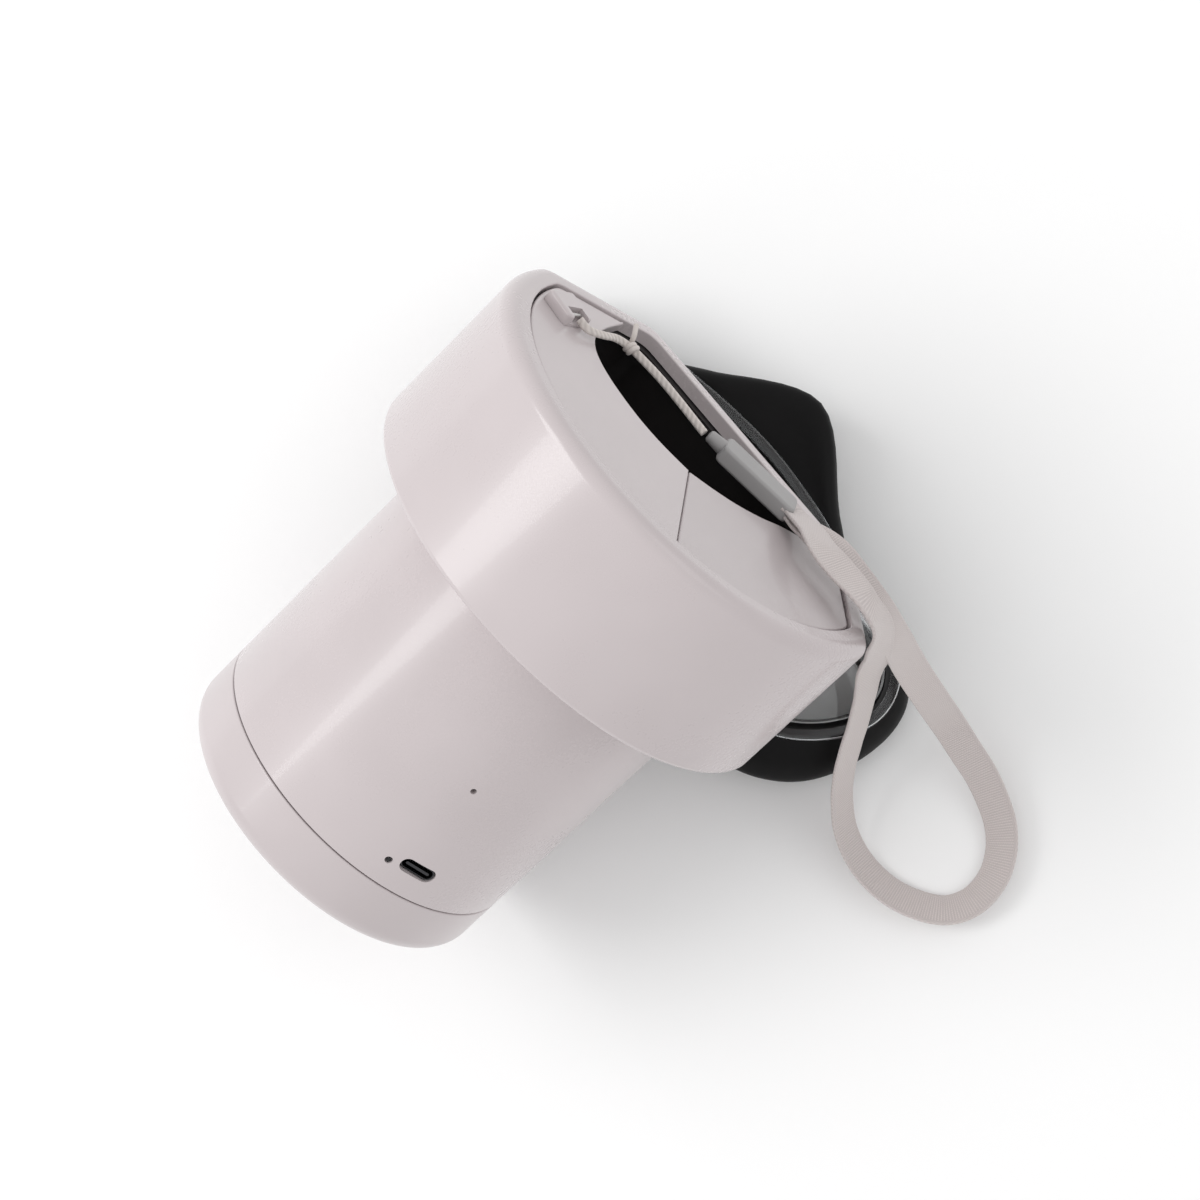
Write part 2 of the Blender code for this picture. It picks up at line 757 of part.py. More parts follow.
def cup_point(turn, share):
    """The clear cup's middle surface, from the head's back wall (0) to the seal (1)."""
    a = neck_point(turn)
    m = a + Vector((0.04 * a.x, 14.2, -0.02 * (a.z - NECK_Z)))
    flange = flange_point(turn)
    b = Vector(upright(flange[0], -flange[1], FLANGE_H))
    return a * (1 - share) ** 2 + m * 2 * share * (1 - share) + b * share**2


def cup_normal(turn, share):
    du = cup_point(turn + 0.02, share) - cup_point(turn - 0.02, share)
    dv = cup_point(turn, min(1.0, share + 0.02)) - cup_point(turn, max(0.0, share - 0.02))
    n = du.cross(dv).normalized()
    middle = sum((cup_point(k * math.pi / 2, share) for k in range(4)), Vector()) / 4
    return n if n.dot(cup_point(turn, share) - middle) > 0 else -n


CUP_HALF = 0.9
CUP_ROWS = 7


def cup_ring(turn):
    shares = [i / (CUP_ROWS - 1) for i in range(CUP_ROWS)]
    out = [cup_point(turn, s) + cup_normal(turn, s) * CUP_HALF for s in shares]
    back = [cup_point(turn, s) - cup_normal(turn, s) * CUP_HALF for s in reversed(shares)]
    return [tuple(p) for p in out + back]


finish(loft("clear_cup", [cup_ring(a) for a in angles(RING_STEPS)], True), "clear_cup", "clear_plastic")


def clamp_ring(turn):
    a = neck_point(turn)
    out = Vector((NECK_RISE * math.cos(turn), 0.0, NECK_HALF * math.sin(turn))).normalized()
    return [
        tuple(a + out * o + Vector((0.0, d, 0.0)))
        for o, d in ((1.4, 0.0), (3.6, 0.0), (3.6, 2.2), (3.0, 2.8), (1.9, 2.8))
    ]


finish(loft("clamp_ring", [clamp_ring(a) for a in angles(RING_STEPS)], True), "clamp_ring", "crimp_grey")


def band_ring(turn):
    flange = Vector(flange_point(turn))
    ring = []
    for height, out in ((20.3, 2.0), (20.3, 3.9), (21.0, 4.4), (24.0, 4.4), (25.0, 3.6), (25.0, 2.0)):
        at = flange + outward(flange_point, turn) * out
        ring.append(upright(at.x, -at.y, height))
    return ring


finish(loft("seal_band", [band_ring(a) for a in angles(RING_STEPS)], True), "seal_band", "clear_plastic")


# Wrist strap, as it lies: places are (along the surface, to the side, above it), and the ribbon's lean.
THREAD = (
    (118.6, 39.6, 95.1),
    (118.7, 36.6, 94.2),
    (120.6, 34.6, 89.4),
    (122.6, 33.2, 84.2),
    (123.7, 30.4, 81.4),
    (124.2, 26.0, 79.8),
    (124.5, 20.4, 78.9),
    (124.4, 13.6, 78.9),
    (124.1, 7.2, 79.8),
    (124.0, 4.4, 80.3),
)
RIBBON = (
    (128.0, -22.9, 76.4, -33),
    (128.2, -28.0, 78.0, -33),
    (129.1, -35.3, 78.0, -29),
    (128.9, -42.9, 78.0, -30),
    (128.3, -50.7, 78.5, -32),
    (127.4, -56.8, 64.5, -18),
    (126.6, -62.9, 46.0, 0),
    (126.2, -70.5, 30.5, 8),
    (126.1, -76.5, 17.0, 13),
    (125.4, -83.1, 11.0, 16),
    (124.6, -89.9, 7.2, 18),
    (122.9, -96.2, 5.0, 20),
    (120.5, -101.9, 4.0, 22),
    (116.6, -106.8, 3.6, 24),
    (110.8, -110.5, 3.5, 26),
    (103.6, -111.6, 3.5, 28),
    (97.0, -109.0, 3.5, 30),
    (92.2, -102.8, 3.6, 32),
    (89.4, -95.3, 3.8, 36),
    (89.0, -86.9, 4.6, 42),
    (91.0, -79.4, 7.5, 50),
    (95.1, -73.4, 12.5, 57),
    (99.4, -69.5, 19.0, 62),
    (104.2, -66.5, 26.5, 64),
    (109.2, -63.8, 33.5, 65),
    (113.9, -61.1, 42.0, 64),
    (118.1, -58.7, 52.0, 62),
    (122.7, -57.2, 68.0, 62),
    (125.8, -54.7, 84.0, 60),
    (126.9, -49.3, 90.0, 54),
    (127.0, -40.9, 88.0, 44),
    (126.9, -33.5, 88.0, 38),
    (128.6, -23.6, 83.0, 33),
)
CRIMP_FROM = (0.6, 8.0, 131.6)
CRIMP_TO = (21.0, 14.9, 131.6)


def smooth(points, cuts):
    """A Catmull-Rom line through the points."""
    line = []
    for i in range(len(points) - 1):
        p = [Vector(points[max(0, min(len(points) - 1, i + k))]) for k in (-1, 0, 1, 2)]
        for j in range(cuts):
            t = j / cuts
            bend = 2 * p[1] + (p[2] - p[0]) * t
            bend = bend + (2 * p[0] - 5 * p[1] + 4 * p[2] - p[3]) * t * t
            line.append((bend + (3 * p[1] - p[0] - 3 * p[2] + p[3]) * t**3) / 2)
    line.append(Vector(points[-1]))
    return line


def headings(line):
    last = len(line) - 1
    return [(line[min(last, i + 1)] - line[max(0, i - 1)]).normalized() for i in range(last + 1)]


def tube_rings(line, radius, around):
    rings = []
    for at, t in zip(line, headings(line)):
        up = (Vector((0.0, 0.0, 1.0)) - t * t.z).normalized()
        over = t.cross(up)
        ring = [at + up * (radius * math.cos(a)) + over * (radius * math.sin(a)) for a in angles(around)]
        rings.append([upright(*p) for p in ring])
    return rings


def ribbon_rings(line, leans, wide, thick):
    rings = []
    for at, t, lean in zip(line, headings(line), leans):
        up = (Vector((0.0, 0.0, 1.0)) - t * t.z).normalized()
        right = t.cross(up)
        face = up * math.cos(lean) + right * math.sin(lean)
        over = t.cross(face)
        corners = ((1, 1), (-1, 1), (-1, -1), (1, -1))
        ring = [at + over * (wide / 2 * a) + face * (thick / 2 * b) for a, b in corners]
        rings.append([upright(*p) for p in ring])
    return rings


thread = loft("strap_thread", tube_rings(smooth(THREAD, 3), THREAD_R, 8), False)
finish(thread, "strap_thread", "strap_white", sharp=60.0)
line = smooth([p[:3] for p in RIBBON], 3)
lean_at = [v.x for v in smooth([(math.radians(p[3]), 0.0, 0.0) for p in RIBBON], 3)]
ribbon = loft("strap_ribbon", ribbon_rings(line, lean_at, RIBBON_WIDE, RIBBON_THICK), False)
finish(ribbon, "strap_ribbon", "strap_white", sharp=60.0)

span = Vector(CRIMP_TO) - Vector(CRIMP_FROM)
heading = math.atan2(span.y, span.x)
crimp = flat_piece("strap_crimp", [rounded(span.length, 8.2, 1.2, 3)], -2.1, 2.1)
crimp = bevel(crimp, 0.6, 2)
stem = turned("stem", [(0.0, 0.0), (1.5, 0.0), (1.9, 4.6), (0.0, 4.6)], 16)
lie = Matrix.Rotation(math.pi / 2, 4, "Y")
stem.data.transform(Matrix.Translation((-span.length / 2 - 4.2, 0.0, 0.0)) @ lie)
crimp = add(crimp, stem)
middle = (Vector(CRIMP_FROM) + Vector(CRIMP_TO)) / 2
crimp.data.transform(Matrix.Translation(middle) @ Matrix.Rotation(heading, 4, "Z"))
finish(crimp, "strap_crimp", "crimp_grey")
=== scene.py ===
# %% [markdown]
# # A hand-held smoke-escape respirator
#
# The device lies on its face seal and on the edge of its base, seen from almost straight above. The
# handle is a round can with the battery, blower and filter inside. The D-shaped head turns the air
# towards a clear cup with a black rubber seal, which goes over nose and mouth. A woven ribbon hangs
# from a thread on the head, so that the device can be carried on the wrist.
#
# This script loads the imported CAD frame, gives every CAD node a material, and puts finer pieces in the
# place of the ones that show.

import json
import math

import bmesh
import bpy
from mathutils import Matrix, Vector

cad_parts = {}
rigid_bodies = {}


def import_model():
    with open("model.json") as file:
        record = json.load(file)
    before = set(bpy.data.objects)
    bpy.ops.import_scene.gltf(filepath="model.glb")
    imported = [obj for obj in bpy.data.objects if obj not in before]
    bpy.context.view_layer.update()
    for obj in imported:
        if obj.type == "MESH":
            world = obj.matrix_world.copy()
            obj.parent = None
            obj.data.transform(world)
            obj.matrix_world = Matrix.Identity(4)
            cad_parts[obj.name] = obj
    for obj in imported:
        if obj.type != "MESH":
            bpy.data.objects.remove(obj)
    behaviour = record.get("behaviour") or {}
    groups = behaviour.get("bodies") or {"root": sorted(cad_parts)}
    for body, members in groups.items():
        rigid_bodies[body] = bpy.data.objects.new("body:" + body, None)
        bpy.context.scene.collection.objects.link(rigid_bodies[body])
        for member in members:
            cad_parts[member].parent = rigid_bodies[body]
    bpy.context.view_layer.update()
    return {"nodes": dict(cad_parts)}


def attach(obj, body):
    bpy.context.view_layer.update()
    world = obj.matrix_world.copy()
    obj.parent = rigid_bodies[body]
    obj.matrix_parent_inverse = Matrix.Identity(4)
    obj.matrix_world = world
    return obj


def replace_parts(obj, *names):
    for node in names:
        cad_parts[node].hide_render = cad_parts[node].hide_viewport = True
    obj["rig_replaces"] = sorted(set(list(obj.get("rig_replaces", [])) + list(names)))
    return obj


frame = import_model()
NODES = frame["nodes"]

# %% [markdown]
# ## Two ways to say where something is
#
# The pieces are drawn *upright*, in millimetres: the handle's axis is Z with the foot of the base cap
# at 0, and the face side is +Y. That is how a designer would draw them, with round things round about
# Z. `PLACE` turns such a mesh by 22 degrees onto its seal and scales it to metres.
#
# What lies on the table is easier to say from the table: along it, to the side, and above it. `lying`
# gives such a place in metres.

# %%
MM = 0.001
TILT = math.radians(22.0)
FLOOR = 37.4  # from the handle's axis to the table, square to it, at the foot of the handle
SHIFT_X = -69.488
SIN = math.sin(TILT)
COS = math.cos(TILT)

PLACE = Matrix(
    (
        (0.0, SIN * MM, COS * MM, SHIFT_X * MM),
        (-MM, 0.0, 0.0, 0.0),
        (0.0, -COS * MM, SIN * MM, FLOOR * MM),
        (0.0, 0.0, 0.0, 1.0),
    )
)


def lying(along, side, above):
    return Vector(((along + SHIFT_X) * MM, side * MM, above * MM))


def upright(along, side, above):
    """The upright point, in millimetres, of a place on or over the table."""
    return Vector(
        (-side, COS * (FLOOR - above) + SIN * along, -SIN * (FLOOR - above) + COS * along)
    )


print("foot of the handle's axis:", [round(x, 4) for x in PLACE @ Vector((0, 0, 0))])

# %% [markdown]
# ## Camera
#
# The camera looks down at the device from 81 degrees above the table, a little from the right of the
# handle, and is rolled so that the handle points up and to the right. It stands 0.84 m off with a long
# lens, which keeps the two ends of the handle nearly the same width.

# %%
VIEW_TURN = math.radians(10.0)  # the view goes round the handle's axis by this much
VIEW_RISE = math.asin(0.375)  # and rises this much over the plane square to the axis
ROLL = math.radians(43.8)
DISTANCE = 0.84
AIM = Vector((0.0, 0.0, 65.0))  # on the handle's axis, upright, in millimetres
AIM_RIGHT = -20.5 * MM  # where that point is in the picture, from its middle
AIM_UP = -9.0 * MM
LENS = 109.6

turn_to_table = PLACE.to_3x3() * (1.0 / MM)
across = turn_to_table @ Vector((math.cos(VIEW_TURN), math.sin(VIEW_TURN), 0.0))
away = Vector((-math.sin(VIEW_TURN), math.cos(VIEW_TURN), 0.0))
axis_up = Vector((0.0, 0.0, 1.0))
rise = turn_to_table @ (axis_up * math.cos(VIEW_RISE) + away * math.sin(VIEW_RISE))
back = turn_to_table @ (axis_up * math.sin(VIEW_RISE) - away * math.cos(VIEW_RISE))
right = rise * math.cos(ROLL) + across * math.sin(ROLL)
up = rise * math.sin(ROLL) - across * math.cos(ROLL)

camera_data = bpy.data.cameras.new("camera")
camera_data.lens = LENS
camera_data.sensor_width = 36.0
camera_data.clip_start = 0.02
camera = bpy.data.objects.new("camera", camera_data)
bpy.context.scene.collection.objects.link(camera)
spot = PLACE @ AIM + back * DISTANCE - right * AIM_RIGHT - up * AIM_UP
camera.matrix_world = Matrix((right, up, back)).transposed().to_4x4()
camera.location = spot
bpy.context.scene.camera = camera
print("camera at", [round(x, 3) for x in spot], "looks along", [round(-x, 3) for x in back])

# %% [markdown]
# ## Small tools for making meshes
#
# A designer's own habits, as functions: something turned on a lathe, a plate cut from an outline, a
# skin through a row of rings, and a cut with another solid. All of them build with bmesh operators.


# %%
def angles(steps):
    return [2 * math.pi * i / steps for i in range(steps)]


def solid(name, bm):
    """An object from a bmesh, with its faces pointing out."""
    bmesh.ops.recalc_face_normals(bm, faces=bm.faces)
    mesh = bpy.data.meshes.new(name)
    bm.to_mesh(mesh)
    bm.free()
    ob = bpy.data.objects.new(name, mesh)
    bpy.context.scene.collection.objects.link(ob)
    return ob


def turned(name, profile, steps=160):
    """Spins the outline (radius, height) round Z. An outline that doesn't touch the axis is closed."""
    bm = bmesh.new()
    verts = [bm.verts.new((r, 0.0, z)) for r, z in profile]
    edges = [bm.edges.new(pair) for pair in zip(verts, verts[1:])]
    if profile[0][0] > 0 and profile[-1][0] > 0:
        edges.append(bm.edges.new((verts[-1], verts[0])))
    bmesh.ops.spin(
        bm,
        geom=[*verts, *edges],
        cent=(0, 0, 0),
        axis=(0, 0, 1),
        angle=2 * math.pi,
        steps=steps,
        use_merge=True,
    )
    bmesh.ops.remove_doubles(bm, verts=bm.verts, dist=0.0005)
    return solid(name, bm)


def plate(name, outline, z0, z1):
    """A flat piece: the outline filled and pulled up from z0 to z1."""
    bm = bmesh.new()
    face = bm.faces.new([bm.verts.new((x, y, z0)) for x, y in outline])
    made = bmesh.ops.extrude_face_region(bm, geom=[face])["geom"]
    moved = [g for g in made if isinstance(g, bmesh.types.BMVert)]
    bmesh.ops.translate(bm, verts=moved, vec=(0, 0, z1 - z0))
    return solid(name, bm)


def disc(name, x, y, z0, z1, radius, steps=32):
    outline = [(x + radius * math.cos(a), y + radius * math.sin(a)) for a in angles(steps)]
    return plate(name, outline, z0, z1)


def skin(name, rings, closed):
    """A skin through rings of points, closed into a loop or with a face at each end."""
    bm = bmesh.new()
    rows = [[bm.verts.new(p) for p in ring] for ring in rings]
    pairs = list(zip(rows, rows[1:]))
    if closed:
        pairs.append((rows[-1], rows[0]))
    else:
        bm.faces.new(rows[0])
        bm.faces.new(rows[-1])
    for a, b in pairs:
        for i in range(len(a)):
            j = (i + 1) % len(a)
            bm.faces.new((a[i], a[j], b[j], b[i]))
    return solid(name, bm)


def bake(ob):
    """Applies an object's modifiers to its mesh."""
    graph = bpy.context.evaluated_depsgraph_get()
    mesh = bpy.data.meshes.new_from_object(ob.evaluated_get(graph))
    ob.modifiers.clear()
    ob.data = mesh
    return ob


def shape(target, tool, operation):
    mod = target.modifiers.new("Shape", "BOOLEAN")
    mod.operation = operation
    mod.solver = "EXACT"
    mod.object = tool
    bake(target)
    bpy.data.objects.remove(tool)
    return target


def cut(target, tool):
    return shape(target, tool, "DIFFERENCE")


def add(target, tool):
    return shape(target, tool, "UNION")


def round_edges(ob, width, segments, pick):
    """Rounds the sharp edges that pick(edge) chooses."""
    bm = bmesh.new()
    bm.from_mesh(ob.data)
    sharp = [e for e in bm.edges if len(e.link_faces) == 2 and e.calc_face_angle(0.0) > 0.5]
    chosen = [e for e in sharp if pick(e)]
    bmesh.ops.bevel(
        bm,
        geom=chosen,
        offset=width,
        segments=segments,
        profile=0.5,
        affect="EDGES",
        material=-1,
    )
    bm.to_mesh(ob.data)
    bm.free()
    return ob


def weld(ob, distance):
    """Merges points closer than this, so that a large face has no slivers at its corners."""
    bm = bmesh.new()
    bm.from_mesh(ob.data)
    bmesh.ops.remove_doubles(bm, verts=bm.verts, dist=distance)
    bm.to_mesh(ob.data)
    bm.free()
    return ob


def at_height(level):
    return lambda edge: all(abs(v.co.z - level) < 0.01 for v in edge.verts)


def set_down(ob, body, *stands_for, sharp=30.0, turn=True):
    """Shades a piece, turns it onto the table, and lets it ride on its CAD body.

    The normals are weighted by face area, so that a large flat face stays flat beside its rounded
    edges."""
    bm = bmesh.new()
    bm.from_mesh(ob.data)
    for face in bm.faces:
        face.smooth = True
    for edge in bm.edges:
        angle = edge.calc_face_angle(0.0) if len(edge.link_faces) == 2 else 0.0
        edge.smooth = angle < math.radians(sharp)
    bm.to_mesh(ob.data)
    bm.free()
    mod = ob.modifiers.new("Normals", "WEIGHTED_NORMAL")
    mod.keep_sharp = True
    bake(ob)
    if turn:
        ob.data.transform(PLACE)
    if stands_for:
        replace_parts(ob, *stands_for)
    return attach(ob, body)


print("mesh tools ready")

# %% [markdown]
# ## The strap
#
# The thread leaves the anchor's slit, goes across the lens-shaped opening and ends in a grey crimp. The
# ribbon comes out of the crimp, over the corner of the head and down to the table, makes a loop there,
# and comes back the same way, so it is one length with both ends in the crimp. The points are places
# over the table in millimetres. They are the CAD source's, apart from the ribbon's ends: there it stops
# short of the crimp, and here it runs on into it. The last number of a ribbon point is its lean: how
# far it is turned out of flat, towards the inside of the loop. A woven ribbon can't bend sideways in
# its own plane, so it leans most where it turns most.

# %%
THREAD = (
    (118.6, 39.6, 95.1),
    (118.7, 36.6, 94.2),
    (120.6, 34.6, 89.4),
    (122.6, 33.2, 84.2),
    (123.7, 30.4, 81.4),
    (124.2, 26.0, 79.8),
    (124.5, 20.4, 78.9),
    (124.4, 13.6, 78.9),
    (124.1, 7.2, 79.8),
    (124.0, 4.4, 80.3),
)
RIBBON = (
    (126.8, -18.0, 73.6, -66),
    (127.2, -21.0, 72.7, -66),
    (127.6, -24.0, 73.6, -60),
    (128.2, -28.0, 76.0, -46),
    (129.1, -35.3, 78.0, -29),
    (128.9, -42.9, 78.0, -30),
    (128.3, -50.7, 78.5, -32),
    (127.4, -56.8, 64.5, -18),
    (126.6, -62.9, 46.0, 0),
    (126.2, -70.5, 30.5, 8),
    (126.1, -76.5, 17.0, 13),
    (125.4, -83.1, 11.0, 16),
    (124.6, -89.9, 7.2, 18),
    (122.9, -96.2, 5.0, 20),
    (120.5, -101.9, 4.0, 22),
    (116.6, -106.8, 3.6, 24),
    (110.8, -110.5, 3.5, 26),
    (103.6, -111.6, 3.5, 28),
    (97.0, -109.0, 3.5, 30),
    (92.2, -102.8, 3.6, 32),
    (89.4, -95.3, 3.8, 36),
    (89.0, -86.9, 4.6, 42),
    (91.0, -79.4, 7.5, 50),
    (95.1, -73.4, 12.5, 57),
    (99.4, -69.5, 19.0, 62),
    (104.2, -66.5, 26.5, 64),
    (109.2, -63.8, 33.5, 65),
    (113.9, -61.1, 42.0, 64),
    (118.1, -58.7, 52.0, 62),
    (122.7, -57.2, 68.0, 62),
    (125.8, -54.7, 84.0, 60),
    (126.9, -49.3, 90.0, 54),
    (127.0, -40.9, 88.0, 44),
    (127.2, -34.5, 86.0, 46),
    (128.2, -28.5, 80.5, 56),
    (128.3, -24.0, 75.5, 64),
    (128.1, -21.0, 73.1, 66),
    (127.7, -18.0, 74.1, 66),
)
THREAD_R = 0.95
RIBBON_WIDE = 8.3
RIBBON_THICK = 0.9
CRIMP_FROM = Vector((0.6, 8.0, 131.6))
CRIMP_TO = Vector((21.0, 14.9, 131.6))


def smooth_line(points, cuts):
    """A Catmull-Rom line through the points."""
    line = []
    last = len(points) - 1
    for i in range(last):
        p = [Vector(points[max(0, min(last, i + k))]) for k in (-1, 0, 1, 2)]
        for j in range(cuts):
            t = j / cuts
            bend = 2 * p[1] + (p[2] - p[0]) * t
            bend = bend + (2 * p[0] - 5 * p[1] + 4 * p[2] - p[3]) * t * t
            line.append((bend + (3 * p[1] - p[0] - 3 * p[2] + p[3]) * t**3) / 2)
    line.append(Vector(points[last]))
    return line


def headings(line):
    last = len(line) - 1
    return [(line[min(last, i + 1)] - line[max(0, i - 1)]).normalized() for i in range(last + 1)]


def run_lengths(line):
    runs = [0.0]
    for a, b in zip(line, line[1:]):
        runs.append(runs[-1] + (b - a).length)
    return runs


def with_uv(ob, across, wrap_to, runs):
    """Gives a skin of rings a UV map: each ring point's own number, and the millimetres along."""
    count = len(across)
    layer = ob.data.uv_layers.new(name="UVMap")
    for poly in ob.data.polygons:
        inside = [ob.data.loops[i].vertex_index for i in poly.loop_indices]
        wraps = count - 1 in [v % count for v in inside]
        for i, v in zip(poly.loop_indices, inside):
            u = wrap_to if wraps and v % count == 0 else across[v % count]
            layer.data[i].uv = (u, runs[v // count])
    return ob


RIBBON_FACE = (
    (-1.0, -0.35),
    (-0.97, -0.9),
    (-0.9, -1.0),
    (-0.84, -0.8),
    (-0.4, -0.8),
    (0.0, -0.8),
    (0.4, -0.8),
    (0.84, -0.8),
    (0.9, -1.0),
    (0.97, -0.9),
    (1.0, -0.35),
)
RIBBON_SIDES = (*RIBBON_FACE, *((-a, -b) for a, b in RIBBON_FACE))
RIBBON_CUTS = 12  # steps between two points of a route
THREAD_CUTS = 10
THREAD_AROUND = 16

ribbon_line = smooth_line([p[:3] for p in RIBBON], RIBBON_CUTS)
leans = [(math.radians(p[3]), 0, 0) for p in RIBBON]
ribbon_lean = [v.x for v in smooth_line(leans, RIBBON_CUTS)]
ribbon_rings = []
for at, t, lean in zip(ribbon_line, headings(ribbon_line), ribbon_lean):
    level = (Vector((0, 0, 1)) - t * t.z).normalized()
    face = level * math.cos(lean) + t.cross(level) * math.sin(lean)
    over = t.cross(face)
    ribbon_rings.append(
        [
            lying(*(at + over * (RIBBON_WIDE / 2 * a) + face * (RIBBON_THICK / 2 * b)))
            for a, b in RIBBON_SIDES
        ]
    )
ribbon = skin("strap_ribbon_woven", ribbon_rings, False)
half_wide = RIBBON_WIDE / 2
with_uv(ribbon, [a * half_wide for a, b in RIBBON_SIDES], -half_wide, run_lengths(ribbon_line))
set_down(ribbon, "device", "strap_ribbon", sharp=80.0, turn=False)

thread_line = smooth_line(THREAD, THREAD_CUTS)
thread_rings = []
for at, t in zip(thread_line, headings(thread_line)):
    level = (Vector((0, 0, 1)) - t * t.z).normalized()
    over = t.cross(level)
    ring = []
    for a in angles(THREAD_AROUND):
        # Two plies side by side make a figure of eight, drawn in to a waist between them.
        radius = THREAD_R * (0.8 + 0.2 * math.cos(2 * a))
        ring.append(lying(*(at + over * (radius * math.cos(a)) + level * (radius * math.sin(a)))))
    thread_rings.append(ring)
thread = skin("strap_thread_plies", thread_rings, False)
turn_share = [i / THREAD_AROUND for i in range(THREAD_AROUND)]
with_uv(thread, turn_share, 1.0, run_lengths(thread_line))
set_down(thread, "device", "strap_thread", sharp=80.0, turn=False)
ribbon_long = run_lengths(ribbon_line)[-1]
thread_long = run_lengths(thread_line)[-1]
print("ribbon", round(ribbon_long), "mm long, thread", round(thread_long), "mm")

# %% [markdown]
# ### Knot and crimp
#
# The thread is a loop of two plies round the anchor's pin. A small overhand knot keeps the plies
# together, with a short tail. The crimp is a moulded grey block pressed over the ribbon's ends; its
# stem takes the thread.


# %%
def rounded(width, height, radius, steps=8):
    """A rounded rectangle, as a list of points."""
    points = []
    for cx, cy, first in ((1, 1, 0), (-1, 1, 90), (-1, -1, 180), (1, -1, 270)):
        for i in range(steps + 1):
            a = math.radians(first + 90 * i / steps)
            x = cx * (width / 2 - radius) + radius * math.cos(a)
            points.append((x, cy * (height / 2 - radius) + radius * math.sin(a)))
    return points


def tube(name, line, radii, around=12):
    """A round skin along a line given in the table's own places, with a radius for each point."""
    rings = []
    for at, t, r in zip(line, headings(line), radii):
        level = (Vector((0, 0, 1)) - t * t.z).normalized()
        over = t.cross(level)
        rings.append(
            [lying(*(at + over * (r * math.cos(a)) + level * (r * math.sin(a)))) for a in angles(around)]
        )
    return skin(name, rings, False)


KNOT_AT = 4.1  # the knot's place on the thread, in the points of THREAD
knot_middle = thread_line[int(KNOT_AT * THREAD_CUTS)]
KNOT_R = 1.1
KNOT_LONG = 2.0
KNOT_WINDS = 1.9
KNOT_STEPS = 48
knot_line = []
for i in range(KNOT_STEPS + 1):
    a = 2 * math.pi * i / KNOT_STEPS * KNOT_WINDS
    along = i / KNOT_STEPS * KNOT_LONG - KNOT_LONG / 2
    knot_line.append(knot_middle + Vector((math.cos(a) * KNOT_R, along, math.sin(a) * KNOT_R)))
tail = smooth_line(
    [knot_line[-1], knot_middle + Vector((2.4, 1.6, 0.4)), knot_middle + Vector((4.4, 3.4, -0.6))], 6
)
knot_line = knot_line + tail[1:]
knot = tube("strap_knot", knot_line, [0.62] * len(knot_line), 10)
set_down(knot, "device", sharp=80.0, turn=False)

span = CRIMP_TO - CRIMP_FROM
middle = (CRIMP_FROM + CRIMP_TO) / 2
crimp = plate("strap_crimp_moulded", rounded(span.length, 8.2, 1.6), -2.1, 2.1)
round_edges(crimp, 0.8, 4, lambda edge: at_height(2.1)(edge) or at_height(-2.1)(edge))
stem = turned("stem", [(0.0, 0.0), (1.1, 0.0), (1.5, 0.5), (1.9, 4.6), (0.0, 4.6)], 32)
along_x = Matrix.Rotation(math.pi / 2, 4, "Y")
stem.data.transform(Matrix.Translation((-span.length / 2 - 4.2, 0.0, 0.0)) @ along_x)
add(crimp, stem)
heading = math.atan2(span.y, span.x)
crimp.data.transform(Matrix.Translation(middle) @ Matrix.Rotation(heading, 4, "Z"))
set_down(crimp, "device", "strap_crimp")

lying(*THREAD[0])
[lying(*p) for p in thread_line]
lying(*RIBBON[0][:3])
[lying(*p) for p in ribbon_line]
print("knot and crimp on the strap")

# %% [markdown]
# ## The handle's can and the base cap
#
# The can is an injection moulding 84 mm across, with a wall of 2.4 mm. The cap is a bayonet: its collar
# goes up inside the can, and it turns 30 degrees to come off. Between the two is a gap of 0.3 mm with
# a small round on each side, which reads as one dark line. Twelve slots in the foot let air in.

# %%
BODY_R = 42.0
BODY_IN = 39.6
SEAM_Z = 15.7
SEAM_GAP = 0.3
SEAM_EASE = 0.35
BODY_TOP = 86.7
BASE_ROUND = 5.0
COLLAR_OUT = 39.1
COLLAR_IN = 36.8
COLLAR_TOP = 20.0
AIR_SLOTS = 12


def ease(x, z, start, radius=SEAM_EASE, steps=5):
    """A quarter turn of a small round edge, from an angle in degrees."""
    return [
        (x + radius * math.cos(a), z + radius * math.sin(a))
        for a in (math.radians(start + 90 * i / steps) for i in range(steps + 1))
    ]


foot = [
    (BODY_R - BASE_ROUND + BASE_ROUND * math.cos(a), BASE_ROUND - BASE_ROUND * math.sin(a))
    for a in (math.pi / 2 * i / 14 for i in range(15))
]
cap = turned(
    "base_cap_moulded",
    [
        (0.0, 2.5),
        (COLLAR_IN, 2.5),
        (COLLAR_IN, COLLAR_TOP),
        (COLLAR_OUT, COLLAR_TOP),
        (COLLAR_OUT, SEAM_Z),
        *reversed(ease(BODY_R - SEAM_EASE, SEAM_Z - SEAM_EASE, 0)),
        *foot,
        (0.0, 0.0),
    ],
    192,
)
for i in range(AIR_SLOTS):
    air = plate("air", rounded(13.0, 2.2, 1.05, 6), -1.0, 4.0)
    turn = Matrix.Rotation(2 * math.pi * i / AIR_SLOTS, 4, "Z")
    air.data.transform(turn @ Matrix.Translation((24.0, 0.0, 0.0)))
    cut(cap, air)
set_down(cap, "cap", "base_cap")

low = SEAM_Z + SEAM_GAP
body = turned(
    "body_shell_moulded",
    [
        (BODY_IN, BODY_TOP),
        *reversed(ease(BODY_R - SEAM_EASE, BODY_TOP - SEAM_EASE, 0)),
        *reversed(ease(BODY_R - SEAM_EASE, low + SEAM_EASE, -90)),
        (BODY_IN, low),
    ],
    192,
)

PORT_AZ = 40.0  # degrees from the front (-Y) to the right (+X)
USB_AT = (2.8, 24.2)
LED_AT = (-4.5, 22.7)
RESET_AT = (-2.3, 49.2)


